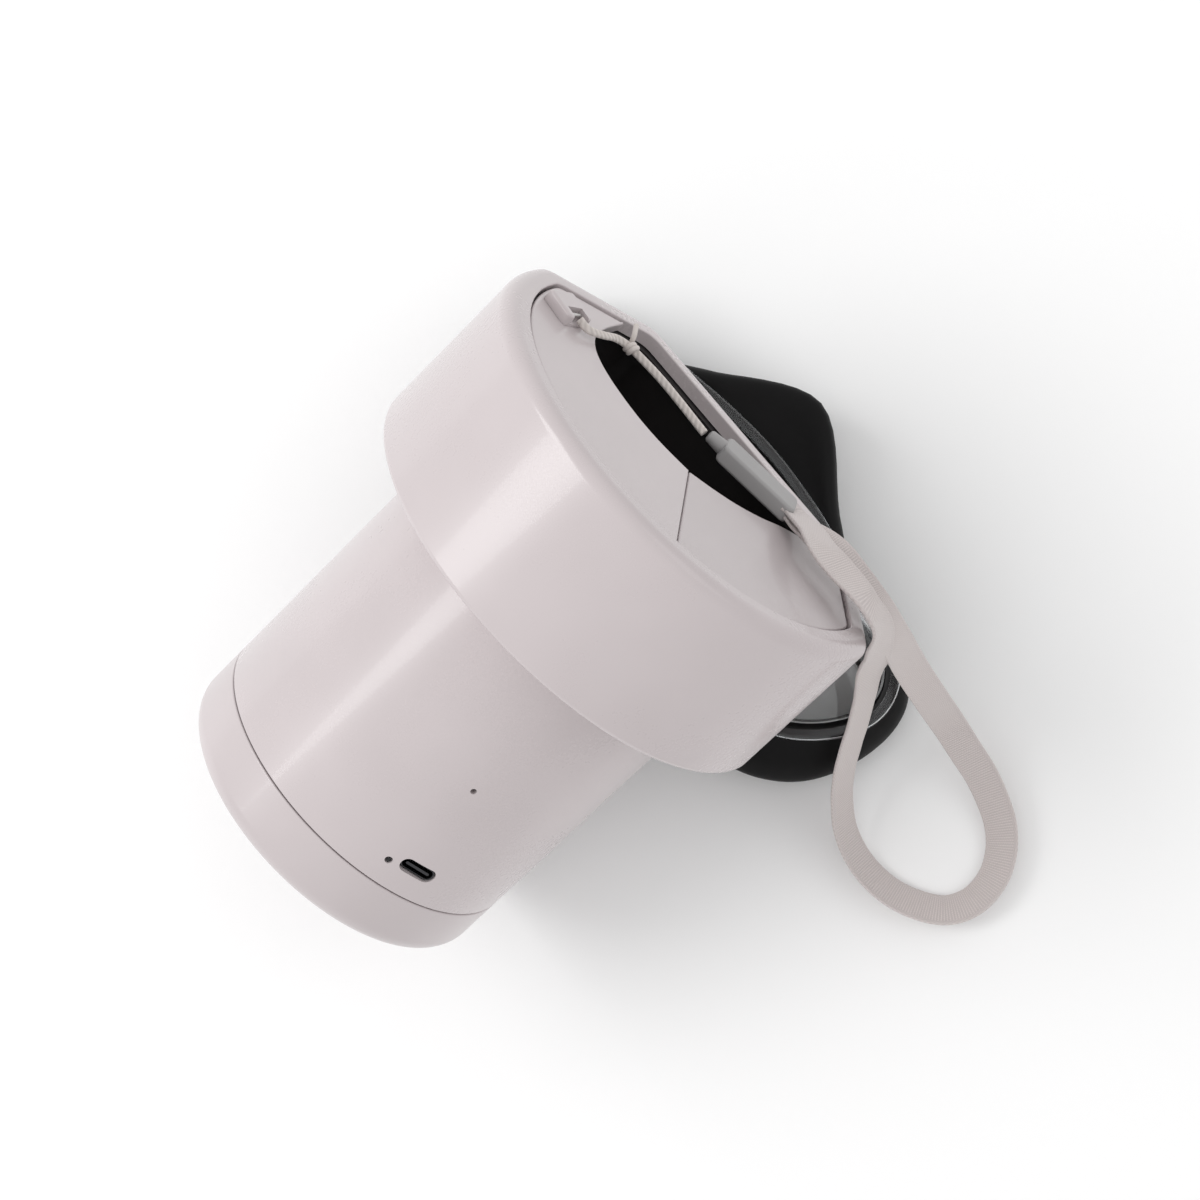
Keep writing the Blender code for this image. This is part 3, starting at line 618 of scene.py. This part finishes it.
def pointing(ob, side, z, depth):
    """Stands a plate drawn from 0 up on the port's direction, its 0 face at the given depth."""
    turn = Matrix.Rotation(math.radians(PORT_AZ), 4, "Z")
    lie = Matrix.Rotation(math.radians(90.0), 4, "X")
    ob.data.transform(turn @ Matrix.Translation((side, -depth, z)) @ lie)
    return ob


cut(body, pointing(plate("c", rounded(9.6, 3.9, 1.9), 0.0, 12.0), *USB_AT, 34.0))
cut(body, pointing(disc("c", 0, 0, 0.0, 12.0, 0.95, 28), *LED_AT, 34.0))
cut(body, pointing(disc("c", 0, 0, 0.0, 12.0, 0.75, 28), *RESET_AT, 34.0))
set_down(body, "device", "body_shell")
print("can and cap:", len(body.data.polygons), "and", len(cap.data.polygons), "faces")

# %% [markdown]
# ## The head
#
# Seen along the handle the head is a D: a round front, two slanting sides and a flat back that carries
# the clear cup. Its top edge has a large round, its corners a small one. The two top plates sit 0.55 mm
# below the lip, with a groove of 0.55 mm all round. Towards the cup they stop short and leave a
# lens-shaped opening into the tray where the strap is stowed. The tray is painted near black: partly
# its own colour, partly painted shade for the dark down in the opening.

# %%
HEAD_R = 57.5
HEAD_Z0 = 87.0
HEAD_TOP = 130.0
CORNER = (57.4, 3.0)
FLAT_X = 36.0
FLAT_Y = 33.0
HEAD_WALL = 2.5
HEAD_FLOOR = 89.4
LIP = 6.3
LIP_UNDER = 126.8
PLATE_Z0 = 127.0
PLATE_TOP = 129.2
PLATE_FACE = 129.45
GROOVE = 0.55
PLATE_EDGE = 0.5
SLIVER = 0.12
SCREW_AT = 36.0
SCREW_AZ = (45, 135, 225, 315)


def fillet(points, reach, steps=6):
    """Replaces each corner of a closed outline by a small arc that starts this far from the corner."""
    made = []
    for i, p in enumerate(points):
        here = Vector(p)
        before = Vector(points[i - 1]) - here
        after = Vector(points[(i + 1) % len(points)]) - here
        if abs(before.angle(after) - math.pi) < math.radians(12):
            made.append(tuple(p))
            continue
        a = here + before.normalized() * min(reach, before.length * 0.9)
        b = here + after.normalized() * min(reach, after.length * 0.9)
        for k in range(steps + 1):
            t = k / steps
            made.append(tuple(a * (1 - t) ** 2 + here * 2 * t * (1 - t) + b * t * t))
    return made


def head_outline(inset, front=120, reach=2.4):
    """The head seen from above, a given distance in: round front, slanting sides and a flat back."""
    radius = HEAD_R - inset
    back = FLAT_Y - inset
    slope = Vector((FLAT_X - CORNER[0], FLAT_Y - CORNER[1])).normalized()
    normal = Vector((slope.y, -slope.x))
    offset = Vector(CORNER).dot(normal) - inset
    near = normal * offset - slope * math.sqrt(radius * radius - offset * offset)
    far = normal * offset + slope * ((back - normal.y * offset) / slope.y)
    start = math.atan2(near.y, near.x)
    sweep = -math.pi - 2 * start
    turns = [start + sweep * i / front for i in range(front + 1)]
    arc = [(radius * math.cos(a), radius * math.sin(a)) for a in turns]
    return fillet([*arc, (-far.x, far.y), (far.x, far.y)], reach)


def outline_skin(name, levels):
    """A solid through the head's outline at several heights, from (distance in, height) pairs."""
    return skin(name, [[(x, y, z) for x, y in head_outline(inset)] for inset, z in levels], False)


TOP_ROUND = 3.6
FOOT_ROUND = 1.2
LIP_ROUND = 0.35
quarter = [math.pi / 2 * i / 10 for i in range(11)]
lower = [
    (FOOT_ROUND - FOOT_ROUND * math.sin(a), HEAD_Z0 + FOOT_ROUND - FOOT_ROUND * math.cos(a))
    for a in quarter[::3]
]
upper = [
    (TOP_ROUND - TOP_ROUND * math.cos(a), HEAD_TOP - TOP_ROUND + TOP_ROUND * math.sin(a))
    for a in quarter
]
head = outline_skin("head_shell_moulded", [*lower, (0.0, HEAD_Z0 + FOOT_ROUND), *upper])
mouth = [
    (LIP - LIP_ROUND + LIP_ROUND * math.cos(a), HEAD_TOP - LIP_ROUND + LIP_ROUND * math.sin(a))
    for a in quarter[::3]
]
mouth = [(LIP, LIP_UNDER - 1.0), *mouth, (LIP - LIP_ROUND, HEAD_TOP + 1.0)]
cut(head, outline_skin("c", mouth))
cut(head, plate("c", head_outline(HEAD_WALL), HEAD_FLOOR, LIP_UNDER))
cut(head, disc("c", 0.0, 0.0, HEAD_Z0 - 1.0, HEAD_FLOOR + 1.0, 27.0, 96))
for az in SCREW_AZ:
    a = math.radians(az)
    cut(head, disc("c", SCREW_AT * math.cos(a), SCREW_AT * math.sin(a), 86.0, 90.0, 1.5, 24))
port = plate("c", rounded(52.0, 17.0, 8.4, 12), -2.0, 6.0)
stand = Matrix.Rotation(math.radians(90.0), 4, "X")
port.data.transform(Matrix.Translation((0.0, FLAT_Y, 100.5)) @ stand)
cut(head, port)
set_down(head, "device", "head_shell")

SEAM_OUT = Vector((19.1, -47.6))
SEAM_IN = Vector((3.1, -12.4))
SEAM_HALF = 0.14
NEAR_LEFT = (
    (3.1, -12.4),
    (-5.0, -14.4),
    (-12.0, -14.8),
    (-19.0, -13.8),
    (-26.0, -11.6),
    (-32.0, -7.6),
    (-36.0, -1.0),
    (-37.6, 8.0),
    (-38.0, 18.0),
)
NEAR_RIGHT = (
    (52.0, 4.6),
    (46.0, 10.6),
    (40.0, 15.6),
    (33.0, 17.6),
    (27.0, 15.6),
    (22.5, 10.4),
    (18.6, 3.6),
    (14.0, -2.6),
    (9.0, -7.6),
    (3.1, -12.4),
)


def flat_line(points, cuts=8):
    return [(p.x, p.y) for p in smooth_line([(x, y, 0.0) for x, y in points], cuts)]


opening = [*flat_line(NEAR_LEFT), (-36.5, 60.0), (80.0, 60.0), (80.0, -0.2), *flat_line(NEAR_RIGHT)[:-1]]
seam = (SEAM_OUT - SEAM_IN).normalized()
square = Vector((-seam.y, seam.x))
for name, way, top in (("left", 1.0, PLATE_FACE), ("right", -1.0, PLATE_FACE - 0.1)):
    half = plate(f"top_plate_{name}_moulded", head_outline(LIP + GROOVE), PLATE_Z0, top)
    cut(half, plate("c", opening, PLATE_Z0 - 1.0, top + 1.0))
    edge = -square * (way * SEAM_HALF)
    a = SEAM_IN - seam * 90.0
    b = SEAM_OUT + seam * 90.0
    wide = square * (way * 150.0)
    other = [tuple(p) for p in (a + edge, b + edge, b + wide, a + wide)]
    cut(half, plate("c", other, PLATE_Z0 - 1.0, top + 1.0))
    weld(round_edges(half, PLATE_EDGE, 4, at_height(top)), SLIVER)
    set_down(half, "device", f"top_plate_{name}", sharp=8.0)

# The tray is painted near black: partly its own colour, partly painted shade down in the opening under
# the plates.
tray = plate("stowage_tray_moulded", head_outline(3.0), 111.5, 126.5)
cut(tray, plate("c", head_outline(8.6), 125.0, 128.0))
cut(tray, plate("c", head_outline(4.3), 112.7, 125.1))
set_down(tray, "device", "stowage_tray")
print("head:", len(head.data.polygons), "faces, width", round(2 * HEAD_R, 1), "mm")

# %% [markdown]
# ## The strap's anchor
#
# A small block stands on the left plate with a slit in it. A steel pin goes across the slit, and the
# thread is looped round the pin.

# %%
ANCHOR = (-43.4, -8.2)
ANCHOR_TURN = math.radians(-12.0)
on_plate = Matrix.Translation((*ANCHOR, 0.0)) @ Matrix.Rotation(ANCHOR_TURN, 4, "Z")
block = plate("strap_anchor_moulded", rounded(8.6, 9.6, 1.2, 6), PLATE_TOP + 0.3, PLATE_TOP + 3.2)
round_edges(block, 0.7, 4, at_height(PLATE_TOP + 3.2))
slit = plate("c", [(1.0, -3.0), (5.0, -3.0), (5.0, 3.0), (1.0, 3.0)], PLATE_TOP + 0.9, 140.0)
cut(block, slit)
block.data.transform(on_plate)
set_down(block, "device", "strap_anchor")
print("anchor:", len(block.data.polygons), "faces")

# %% [markdown]
# ## The facepiece
#
# Three pieces make it: a clear cup that leaves the head's flat back through a clamp ring, a soft black
# seal that turns inwards and lies on the face, and a clear band that holds the seal on the cup's
# flange. All three are skins through rings, and the rings are given at equal turns round the face
# opening, 0 to the right and a quarter turn to the nose. A face isn't flat, so the seal's rim stands
# clear of a table at nose and chin and touches it at the cheeks.

# %%
FACE_X = 108.0
RIM = (
    (72.0, 0.0),
    (72.6, 16.0),
    (74.2, 31.0),
    (77.4, 43.5),
    (82.5, 55.0),
    (91.0, 63.5),
    (103.0, 68.0),
    (116.0, 68.0),
    (125.5, 62.5),
    (129.5, 51.5),
    (130.5, 38.0),
    (138.5, 24.0),
    (153.2, 0.0),
)
FLANGE = (
    (87.0, 0.0),
    (87.3, 14.0),
    (88.6, 27.0),
    (91.4, 39.0),
    (96.0, 49.5),
    (103.5, 57.0),
    (112.5, 61.0),
    (120.0, 59.0),
    (125.5, 51.5),
    (127.6, 41.0),
    (129.4, 28.5),
    (131.6, 14.5),
    (132.6, 0.0),
)
NOSE_LEAN = 3.0  # the soft nose of the seal lies this much to the left
LEAN_FROM = 120.0
LEAN_OVER = 25.0
RIM_HALF = 67.0
NOSE_RELIEF = 9.0  # how far the rim stands clear of a table at the nose
CHIN_RELIEF = 4.5
FLANGE_H = 22.0
NECK_HALF = 33.0
NECK_RISE = 14.5
NECK_Z = 106.0
TURNS = 176


def ring_point(turn, half):
    """A point of a closed smooth ring through the half ring's points and their mirror images."""
    whole = [*half, *((a, -x) for a, x in half[-2:0:-1])]
    place = (math.degrees(turn) + 90.0) / 15.0
    first = math.floor(place)
    t = place - first
    p = [Vector(whole[(first + k) % len(whole)]) for k in (-1, 0, 1, 2)]
    bend = 2 * p[1] + (p[2] - p[0]) * t + (2 * p[0] - 5 * p[1] + 4 * p[2] - p[3]) * t * t
    return (bend + (3 * p[1] - p[0] - 3 * p[2] + p[3]) * t**3) / 2


def rim_point(turn):
    at = ring_point(turn, RIM)
    share = min(1.0, max(0.0, (at.x - LEAN_FROM) / LEAN_OVER))
    return at - Vector((0.0, NOSE_LEAN * share * share * (3.0 - 2.0 * share)))


def flange_point(turn):
    return ring_point(turn, FLANGE)


def outward(ring, turn):
    """The direction square to a ring, away from the middle of the face opening."""
    along = (ring(turn + 0.01) - ring(turn - 0.01)).normalized()
    out = Vector((along.y, -along.x))
    away = ring(turn) - Vector((FACE_X, 0.0))
    return out if out.dot(away) > 0 else -out


SEAL_SECTION = (
    (0.0, 19.6, 0.7),
    (0.25, 17.2, 0.0),
    (0.55, 14.2, -0.3),
    (0.85, 11.6, -0.8),
    (1.0, 8.6, -0.5),
    (1.0, 5.4, 0.0),
    (1.0, 2.4, -1.0),
    (1.0, 0.5, -3.2),
    (1.0, 0.0, -6.0),
    (1.0, 0.9, -9.0),
    (0.95, 3.2, -10.3),
    (0.85, 6.4, -7.8),
    (0.6, 10.6, -4.7),
    (0.3, 15.2, -2.9),
    (0.0, 19.6, -1.1),
)
seal_section = smooth_line(SEAL_SECTION, 4)


def seal_ring(turn):
    flange = flange_point(turn)
    rim_at = rim_point(turn)
    across = ring_point(turn, RIM).y / RIM_HALF
    most = NOSE_RELIEF if math.sin(turn) > 0 else CHIN_RELIEF
    relief = most * max(0.0, 1.0 - across * across)
    ring = []
    for share, above, out in seal_section:
        at = flange.lerp(rim_at, share) + outward(rim_point, turn) * out
        ring.append(upright(at.x, -at.y, max(0.0, above) + relief * share))
    return ring


seal = skin("face_seal_moulded", [seal_ring(a) for a in angles(TURNS)], True)
set_down(seal, "device", "face_seal", sharp=70.0)


def neck_point(turn):
    return Vector((NECK_HALF * math.cos(turn), FLAT_Y + 0.4, NECK_Z + NECK_RISE * math.sin(turn)))


def cup_point(turn, share):
    """The clear cup's middle surface, from the head's back wall (0) to the seal (1)."""
    a = neck_point(turn)
    m = a + Vector((0.04 * a.x, 14.2, -0.02 * (a.z - NECK_Z)))
    flange = flange_point(turn)
    b = upright(flange.x, -flange.y, FLANGE_H)
    return a * (1 - share) ** 2 + m * 2 * share * (1 - share) + b * share**2


def cup_normal(turn, share):
    du = cup_point(turn + 0.02, share) - cup_point(turn - 0.02, share)
    dv = cup_point(turn, min(1.0, share + 0.02)) - cup_point(turn, max(0.0, share - 0.02))
    n = du.cross(dv).normalized()
    centre = sum((cup_point(k * math.pi / 2, share) for k in range(4)), Vector()) / 4
    return n if n.dot(cup_point(turn, share) - centre) > 0 else -n


CUP_HALF = 0.9
CUP_ROWS = 18


def cup_ring(turn):
    shares = [i / (CUP_ROWS - 1) for i in range(CUP_ROWS)]
    out = [cup_point(turn, s) + cup_normal(turn, s) * CUP_HALF for s in shares]
    inside = [cup_point(turn, s) - cup_normal(turn, s) * CUP_HALF for s in reversed(shares)]
    return out + inside


cup = skin("clear_cup_moulded", [cup_ring(a) for a in angles(TURNS)], True)
set_down(cup, "device", "clear_cup")


def clamp_section(turn):
    a = neck_point(turn)
    out = Vector((NECK_RISE * math.cos(turn), 0.0, NECK_HALF * math.sin(turn))).normalized()
    steps = ((1.4, 0.0), (3.6, 0.0), (3.6, 1.9), (3.4, 2.4), (3.0, 2.7), (2.5, 2.8), (1.9, 2.8))
    return [a + out * o + Vector((0.0, d, 0.0)) for o, d in steps]


clamp = skin("clamp_ring_moulded", [clamp_section(a) for a in angles(TURNS)], True)
set_down(clamp, "device", "clamp_ring")

BAND_SECTION = (
    (20.3, 2.0),
    (20.3, 3.6),
    (20.4, 3.95),
    (20.8, 4.3),
    (21.4, 4.4),
    (23.6, 4.4),
    (24.4, 4.25),
    (24.9, 3.8),
    (25.0, 3.3),
    (25.0, 2.0),
)


def band_ring(turn):
    flange = flange_point(turn)
    ring = []
    for above, out in BAND_SECTION:
        at = flange + outward(flange_point, turn) * out
        ring.append(upright(at.x, -at.y, above))
    return ring


band = skin("seal_band_moulded", [band_ring(a) for a in angles(TURNS)], True)
set_down(band, "device", "seal_band")
print("facepiece:", len(seal.data.polygons) + len(cup.data.polygons), "faces in seal and cup")

# %% [markdown]
# ## Shader arithmetic
#
# A shader is easier to read as a formula than as a list of nodes. `Sock` wraps an output socket so
# that plus, minus, times and divide make math nodes, and one method makes any other node.


# %%
class Sock:
    """An output socket that arithmetic works on."""

    def __init__(self, tree, out):
        self.tree = tree
        self.out = out

    def node(self, kind, inputs, out=0, **settings):
        """Makes a node with its inputs by name or number, and returns one of its outputs."""
        made = self.tree.nodes.new(kind)
        for name, value in settings.items():
            setattr(made, name, value)
        for key, value in inputs.items():
            if isinstance(value, Sock):
                self.tree.links.new(value.out, made.inputs[key])
            else:
                made.inputs[key].default_value = value
        return Sock(self.tree, made.outputs[out])

    def calc(self, operation, *values):
        return self.node("ShaderNodeMath", dict(enumerate(values)), operation=operation)

    def __add__(self, other):
        return self.calc("ADD", self, other)

    def __radd__(self, other):
        return self.calc("ADD", other, self)

    def __sub__(self, other):
        return self.calc("SUBTRACT", self, other)

    def __rsub__(self, other):
        return self.calc("SUBTRACT", other, self)

    def __mul__(self, other):
        return self.calc("MULTIPLY", self, other)

    def __rmul__(self, other):
        return self.calc("MULTIPLY", other, self)

    def __truediv__(self, other):
        return self.calc("DIVIDE", self, other)

    def __rtruediv__(self, other):
        return self.calc("DIVIDE", other, self)

    def sine(self):
        return self.calc("SINE", self)

    def noise(self, scale, detail=2.0):
        """Noise over a place, with the number of waves in a metre."""
        return self.node("ShaderNodeTexNoise", {"Vector": self, "Scale": scale, "Detail": detail})

    def axis(self, number):
        return self.node("ShaderNodeSeparateXYZ", {0: self}, number)

    def ramp(self, *stops):
        """A colour for each value, from (value, colour) stops."""
        made = self.tree.nodes.new("ShaderNodeValToRGB")
        made.color_ramp.elements[0].position = stops[0][0]
        made.color_ramp.elements[0].color = (*stops[0][1], 1.0)
        made.color_ramp.elements[1].position = stops[-1][0]
        made.color_ramp.elements[1].color = (*stops[-1][1], 1.0)
        for at, color in stops[1:-1]:
            made.color_ramp.elements.new(at).color = (*color, 1.0)
        self.tree.links.new(self.out, made.inputs[0])
        return Sock(self.tree, made.outputs[0])


def linear(red, green, blue):
    """A colour measured as sRGB from 0 to 255, in the linear numbers that a shader takes."""
    return tuple(
        (c / 255 / 12.92) if c / 255 <= 0.04045 else ((c / 255 + 0.055) / 1.055) ** 2.4
        for c in (red, green, blue)
    )


class Look:
    """One material: its tree, its Principled shader, and where on the object a point is."""

    def __init__(self, name, **constants):
        self.mat = bpy.data.materials.new(name)
        self.mat.use_nodes = True
        self.tree = self.mat.node_tree
        self.shader = self.tree.nodes["Principled BSDF"]
        coords = self.tree.nodes.new("ShaderNodeTexCoord")
        self.place = Sock(self.tree, coords.outputs["Object"])
        self.uv = Sock(self.tree, coords.outputs["UV"])
        for key, value in constants.items():
            self.shader.inputs[key.replace("_", " ")].default_value = value

    def vary(self, **sockets):
        for key, value in sockets.items():
            self.tree.links.new(value.out, self.shader.inputs[key.replace("_", " ")])

    def bump(self, value, depth, strength=1.0):
        """Raises the surface by value times depth, in metres."""
        made = value.node("ShaderNodeBump", {"Strength": strength, "Distance": depth, "Height": value})
        self.vary(Normal=made)


print("shader tools ready")

# %% [markdown]
# ## Materials
#
# The shell is glossy ABS of a warm, slightly pink grey-white; moulded parts are never quite even, so
# the colour and the gloss drift a little, and fine specks of dust dull it. The seal is black silicone
# rubber, the cup and its band clear polycarbonate, and the ribbon a woven polyester tape.


# %%
def shade(color, factor):
    return tuple(c * factor for c in color)


def plastic(name, color, rough=0.3, drift=0.04, coat=0.0):
    """Moulded plastic: the colour and the surface drift over centimetres, and specks dull it."""
    look = Look(name, IOR=1.5, Coat_Weight=coat, Coat_Roughness=0.08)
    broad = look.place.noise(28.0, 3.0)
    specks = look.place.noise(900.0, 5.0)
    look.vary(
        Base_Color=broad.ramp((0.25, shade(color, 1.0 - drift)), (0.75, shade(color, 1.0 + drift))),
        Roughness=rough + broad * 0.05 + specks * 0.02 - 0.03,
    )
    look.bump(broad, 0.00005)
    return look.mat


def rubber(name, color, rough):
    """Silicone rubber: matt, with a bloom of dust that lightens it in patches."""
    look = Look(name, IOR=1.4, Specular_IOR_Level=0.2)
    cloud = look.place.noise(60.0, 4.0)
    dusty = tuple(c + 0.002 for c in color)
    look.vary(
        Base_Color=cloud.ramp((0.4, color), (0.75, dusty)),
        Roughness=rough + cloud * 0.18 - 0.09,
    )
    look.bump(cloud, 0.00003)
    return look.mat


def clear(name, tint, rough):
    """Clear polycarbonate, a little uneven as moulded."""
    look = Look(name, IOR=1.49, Transmission_Weight=1.0)
    broad = look.place.noise(45.0, 2.0)
    look.vary(
        Base_Color=broad.ramp((0.3, shade(tint, 0.96)), (0.7, tint)),
        Roughness=rough + broad * 0.04 - 0.02,
    )
    return look.mat


def metal(name, color, rough, lines=0.0):
    """Metal, brushed across one axis where lines isn't 0."""
    look = Look(name, Metallic=1.0)
    fine = look.place.noise(1800.0, 4.0)
    brushed = (look.place.axis(2) * 9000.0).sine() * lines
    look.vary(
        Base_Color=fine.ramp((0.3, shade(color, 0.9)), (0.7, color)),
        Roughness=rough + fine * 0.12 - 0.06 + brushed * 0.03,
    )
    look.bump(fine + brushed, 0.00001)
    return look.mat


def woven(name, color, pitch):
    """Woven tape: ribs across it, warp threads along it, and a plain selvedge at each side."""
    look = Look(name, IOR=1.45, Sheen_Weight=0.25, Sheen_Roughness=0.5)
    across = look.uv.axis(0)
    along = look.uv.axis(1)
    rib = (along * (2 * math.pi / pitch)).sine()
    warp = (across * (2 * math.pi / 0.62)).sine()
    cross = (along * (math.pi / pitch)).sine() * warp
    edge = across.calc("GREATER_THAN", across.calc("ABSOLUTE", across), 3.3)
    fuzz = look.place.noise(5200.0, 3.0)
    weave = rib * 0.5 * (1.0 - edge) + cross * 0.3 + fuzz * 0.4
    look.vary(
        Base_Color=weave.ramp((0.0, shade(color, 0.84)), (0.7, shade(color, 1.03))),
        Roughness=0.78 + fuzz * 0.2 - 0.1,
    )
    look.bump(weave, 0.00006)
    return look.mat


def twisted(name, color):
    """Two-ply thread: slanting strands round it."""
    look = Look(name, IOR=1.45, Sheen_Weight=0.3)
    strand = (look.uv.axis(0) * (4 * math.pi) + look.uv.axis(1) * (2 * math.pi / 1.6)).sine()
    fuzz = look.place.noise(6000.0, 3.0)
    twist = strand * 0.5 + 0.5 + fuzz * 0.3
    look.vary(
        Base_Color=twist.ramp((0.1, shade(color, 0.82)), (0.9, color)),
        Roughness=0.75 + fuzz * 0.2 - 0.1,
    )
    look.bump(twist, 0.00012)
    return look.mat


def pleated(name, color):
    """Filter paper in radial pleats, its colour darker in each pleat's valley: painted shade in the
    folds.
    """
    look = Look(name, IOR=1.4)
    pleat = (look.place.axis(1) * (2 * math.pi / 0.0022)).sine()
    fibre = look.place.noise(4200.0, 4.0)
    # Painted shade: the paper's colour drops to 0.6 of itself in each pleat's valley.
    look.vary(
        Base_Color=(pleat * 0.4 + fibre * 0.5).ramp((0.0, shade(color, 0.6)), (0.7, color)),
        Roughness=0.85 + fibre * 0.1 - 0.05,
    )
    look.bump(pleat + fibre * 0.5, 0.0004)
    return look.mat


def board(name, mask_color, copper):
    """Circuit board: solder mask with copper tracks in a grid."""
    look = Look(name, IOR=1.5)
    track = (look.place.axis(0) * 3400.0).sine() + (look.place.axis(2) * 2900.0).sine()
    cloud = look.place.noise(700.0, 2.0)
    look.vary(
        Base_Color=(track * 0.4 + cloud * 0.5).ramp((0.45, mask_color), (0.62, copper)),
        Roughness=0.35 + cloud * 0.15 - 0.07,
    )
    look.bump(track, 0.00003)
    return look.mat


WHITE = linear(193, 184, 185)
white = plastic("shell_white", WHITE, rough=0.27, coat=0.25)
plate_left = plastic("plate_left_white", WHITE, rough=0.3, coat=0.2)
# Painted shade: the right plate takes the left plate's white made 7 percent darker, for the weaker light
# that falls on it.
plate_right = plastic("plate_right_painted_shade", shade(WHITE, 0.93), rough=0.3, coat=0.2)
cap_white = plastic("cap_white", shade(WHITE, 0.98), rough=0.3, coat=0.2)
inner_grey = plastic("inner_grey", linear(120, 120, 124), rough=0.5, drift=0.08)
# Near black: the reset button's own colour; on the stowage tray partly its own colour and partly painted
# shade for the dark inside the opening.
tray_black = plastic("tray_black", linear(26, 22, 22), rough=0.55, drift=0.15)
crimp_grey = plastic("crimp_grey", linear(152, 150, 150), rough=0.4, drift=0.06)
clamp_grey = plastic("clamp_grey", linear(120, 121, 124), rough=0.4)
cell_wrap = plastic("cell_wrap", linear(38, 92, 120), rough=0.35, drift=0.12)
seal_black = rubber("seal_rubber", (0.0022, 0.0019, 0.0022), 0.5)
gasket_black = rubber("gasket_rubber", (0.006, 0.006, 0.006), 0.6)
cup_clear = clear("cup_clear", (0.97, 0.98, 0.98), 0.06)
band_clear = clear("band_clear", (0.8, 0.82, 0.84), 0.12)
light_clear = clear("light_clear", (0.5, 0.52, 0.55), 0.2)
steel = metal("steel", (0.58, 0.57, 0.56), 0.3)
# Painted shade: the socket's steel is made near black, for the dark inside the charging slot.
socket_steel = metal("socket_steel", (0.07, 0.07, 0.075), 0.4)
motor_steel = metal("motor_steel", (0.45, 0.45, 0.46), 0.35, lines=1.0)
tape = woven("ribbon_tape", linear(206, 197, 195), 0.62)
twine = twisted("twine", linear(212, 204, 199))
paper = pleated("filter_paper", linear(232, 230, 222))
green_board = board("green_board", linear(22, 74, 44), linear(70, 120, 62))

LOOKS = {
    "base_cap": cap_white,
    "body_shell": white,
    "battery_tray": inner_grey,
    **{f"battery_cell_{i}": cell_wrap for i in (1, 2, 3)},
    "circuit_board": green_board,
    "charging_socket": socket_steel,
    "light_pipe": light_clear,
    "reset_button": tray_black,
    "blower_housing": inner_grey,
    "blower_motor": motor_steel,
    "impeller": inner_grey,
    "filter_frame": inner_grey,
    "filter_media": paper,
    "filter_gasket": gasket_black,
    "neck_ring": inner_grey,
    "head_shell": white,
    **{f"head_screw_{i}": steel for i in (1, 2, 3, 4)},
    "valve_seat": inner_grey,
    "valve_flap": gasket_black,
    "stowage_tray": tray_black,
    "top_plate_left": plate_left,
    "top_plate_right": plate_right,
    "strap_anchor": plate_left,
    "anchor_pin": steel,
    "clear_cup": cup_clear,
    "clamp_ring": clamp_grey,
    "seal_band": band_clear,
    "face_seal": seal_black,
    "strap_thread": twine,
    "strap_ribbon": tape,
    "strap_crimp": crimp_grey,
}


def wear(ob, mat):
    ob.data.materials.clear()
    ob.data.materials.append(mat)


for node, mat in LOOKS.items():
    wear(NODES[node], mat)
for ob in list(bpy.context.scene.objects):
    if "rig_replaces" in ob:
        wear(ob, LOOKS[ob["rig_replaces"][0]])
wear(knot, twine)
print("materials on", len(LOOKS), "nodes")

# %% [markdown]
# ## Floor and light
#
# The device lies on a white table under soft boxes: a broad one overhead and to the left, a weaker one
# from the right, and a bright surround. The shadows are pale and close to the object.

# %%
bm = bmesh.new()
for x, y in ((-4.0, -4.0), (4.0, -4.0), (4.0, 4.0), (-4.0, 4.0)):
    bm.verts.new((x, y, -0.0003))
bm.faces.new(bm.verts)
floor = solid("floor", bm)
paint = Look("floor_white", Base_Color=(0.92, 0.92, 0.92, 1.0), Roughness=0.8)
wear(floor, paint.mat)

world = bpy.data.worlds.new("surround")
world.use_nodes = True
surround = world.node_tree.nodes["Background"]
surround.inputs["Color"].default_value = (1.0, 1.0, 1.0, 1.0)
surround.inputs["Strength"].default_value = 0.85
bpy.context.scene.world = world


def soft_box(name, at, aim, size, power):
    data = bpy.data.lights.new(name, "AREA")
    data.shape = "RECTANGLE"
    data.size = size[0]
    data.size_y = size[1]
    data.energy = power
    lamp = bpy.data.objects.new(name, data)
    bpy.context.scene.collection.objects.link(lamp)
    lamp.location = at
    lamp.rotation_euler = (Vector(aim) - Vector(at)).to_track_quat("-Z", "Y").to_euler()
    return lamp


soft_box("key", (-0.6, 0.75, 1.0), (0.0, 0.0, 0.06), (0.9, 0.6), 8.0)
soft_box("fill", (0.9, -0.6, 0.9), (0.0, 0.0, 0.06), (0.8, 0.6), 1.0)
bpy.context.scene.view_settings.view_transform = "Standard"
print("floor and", len(bpy.data.lights), "lights")
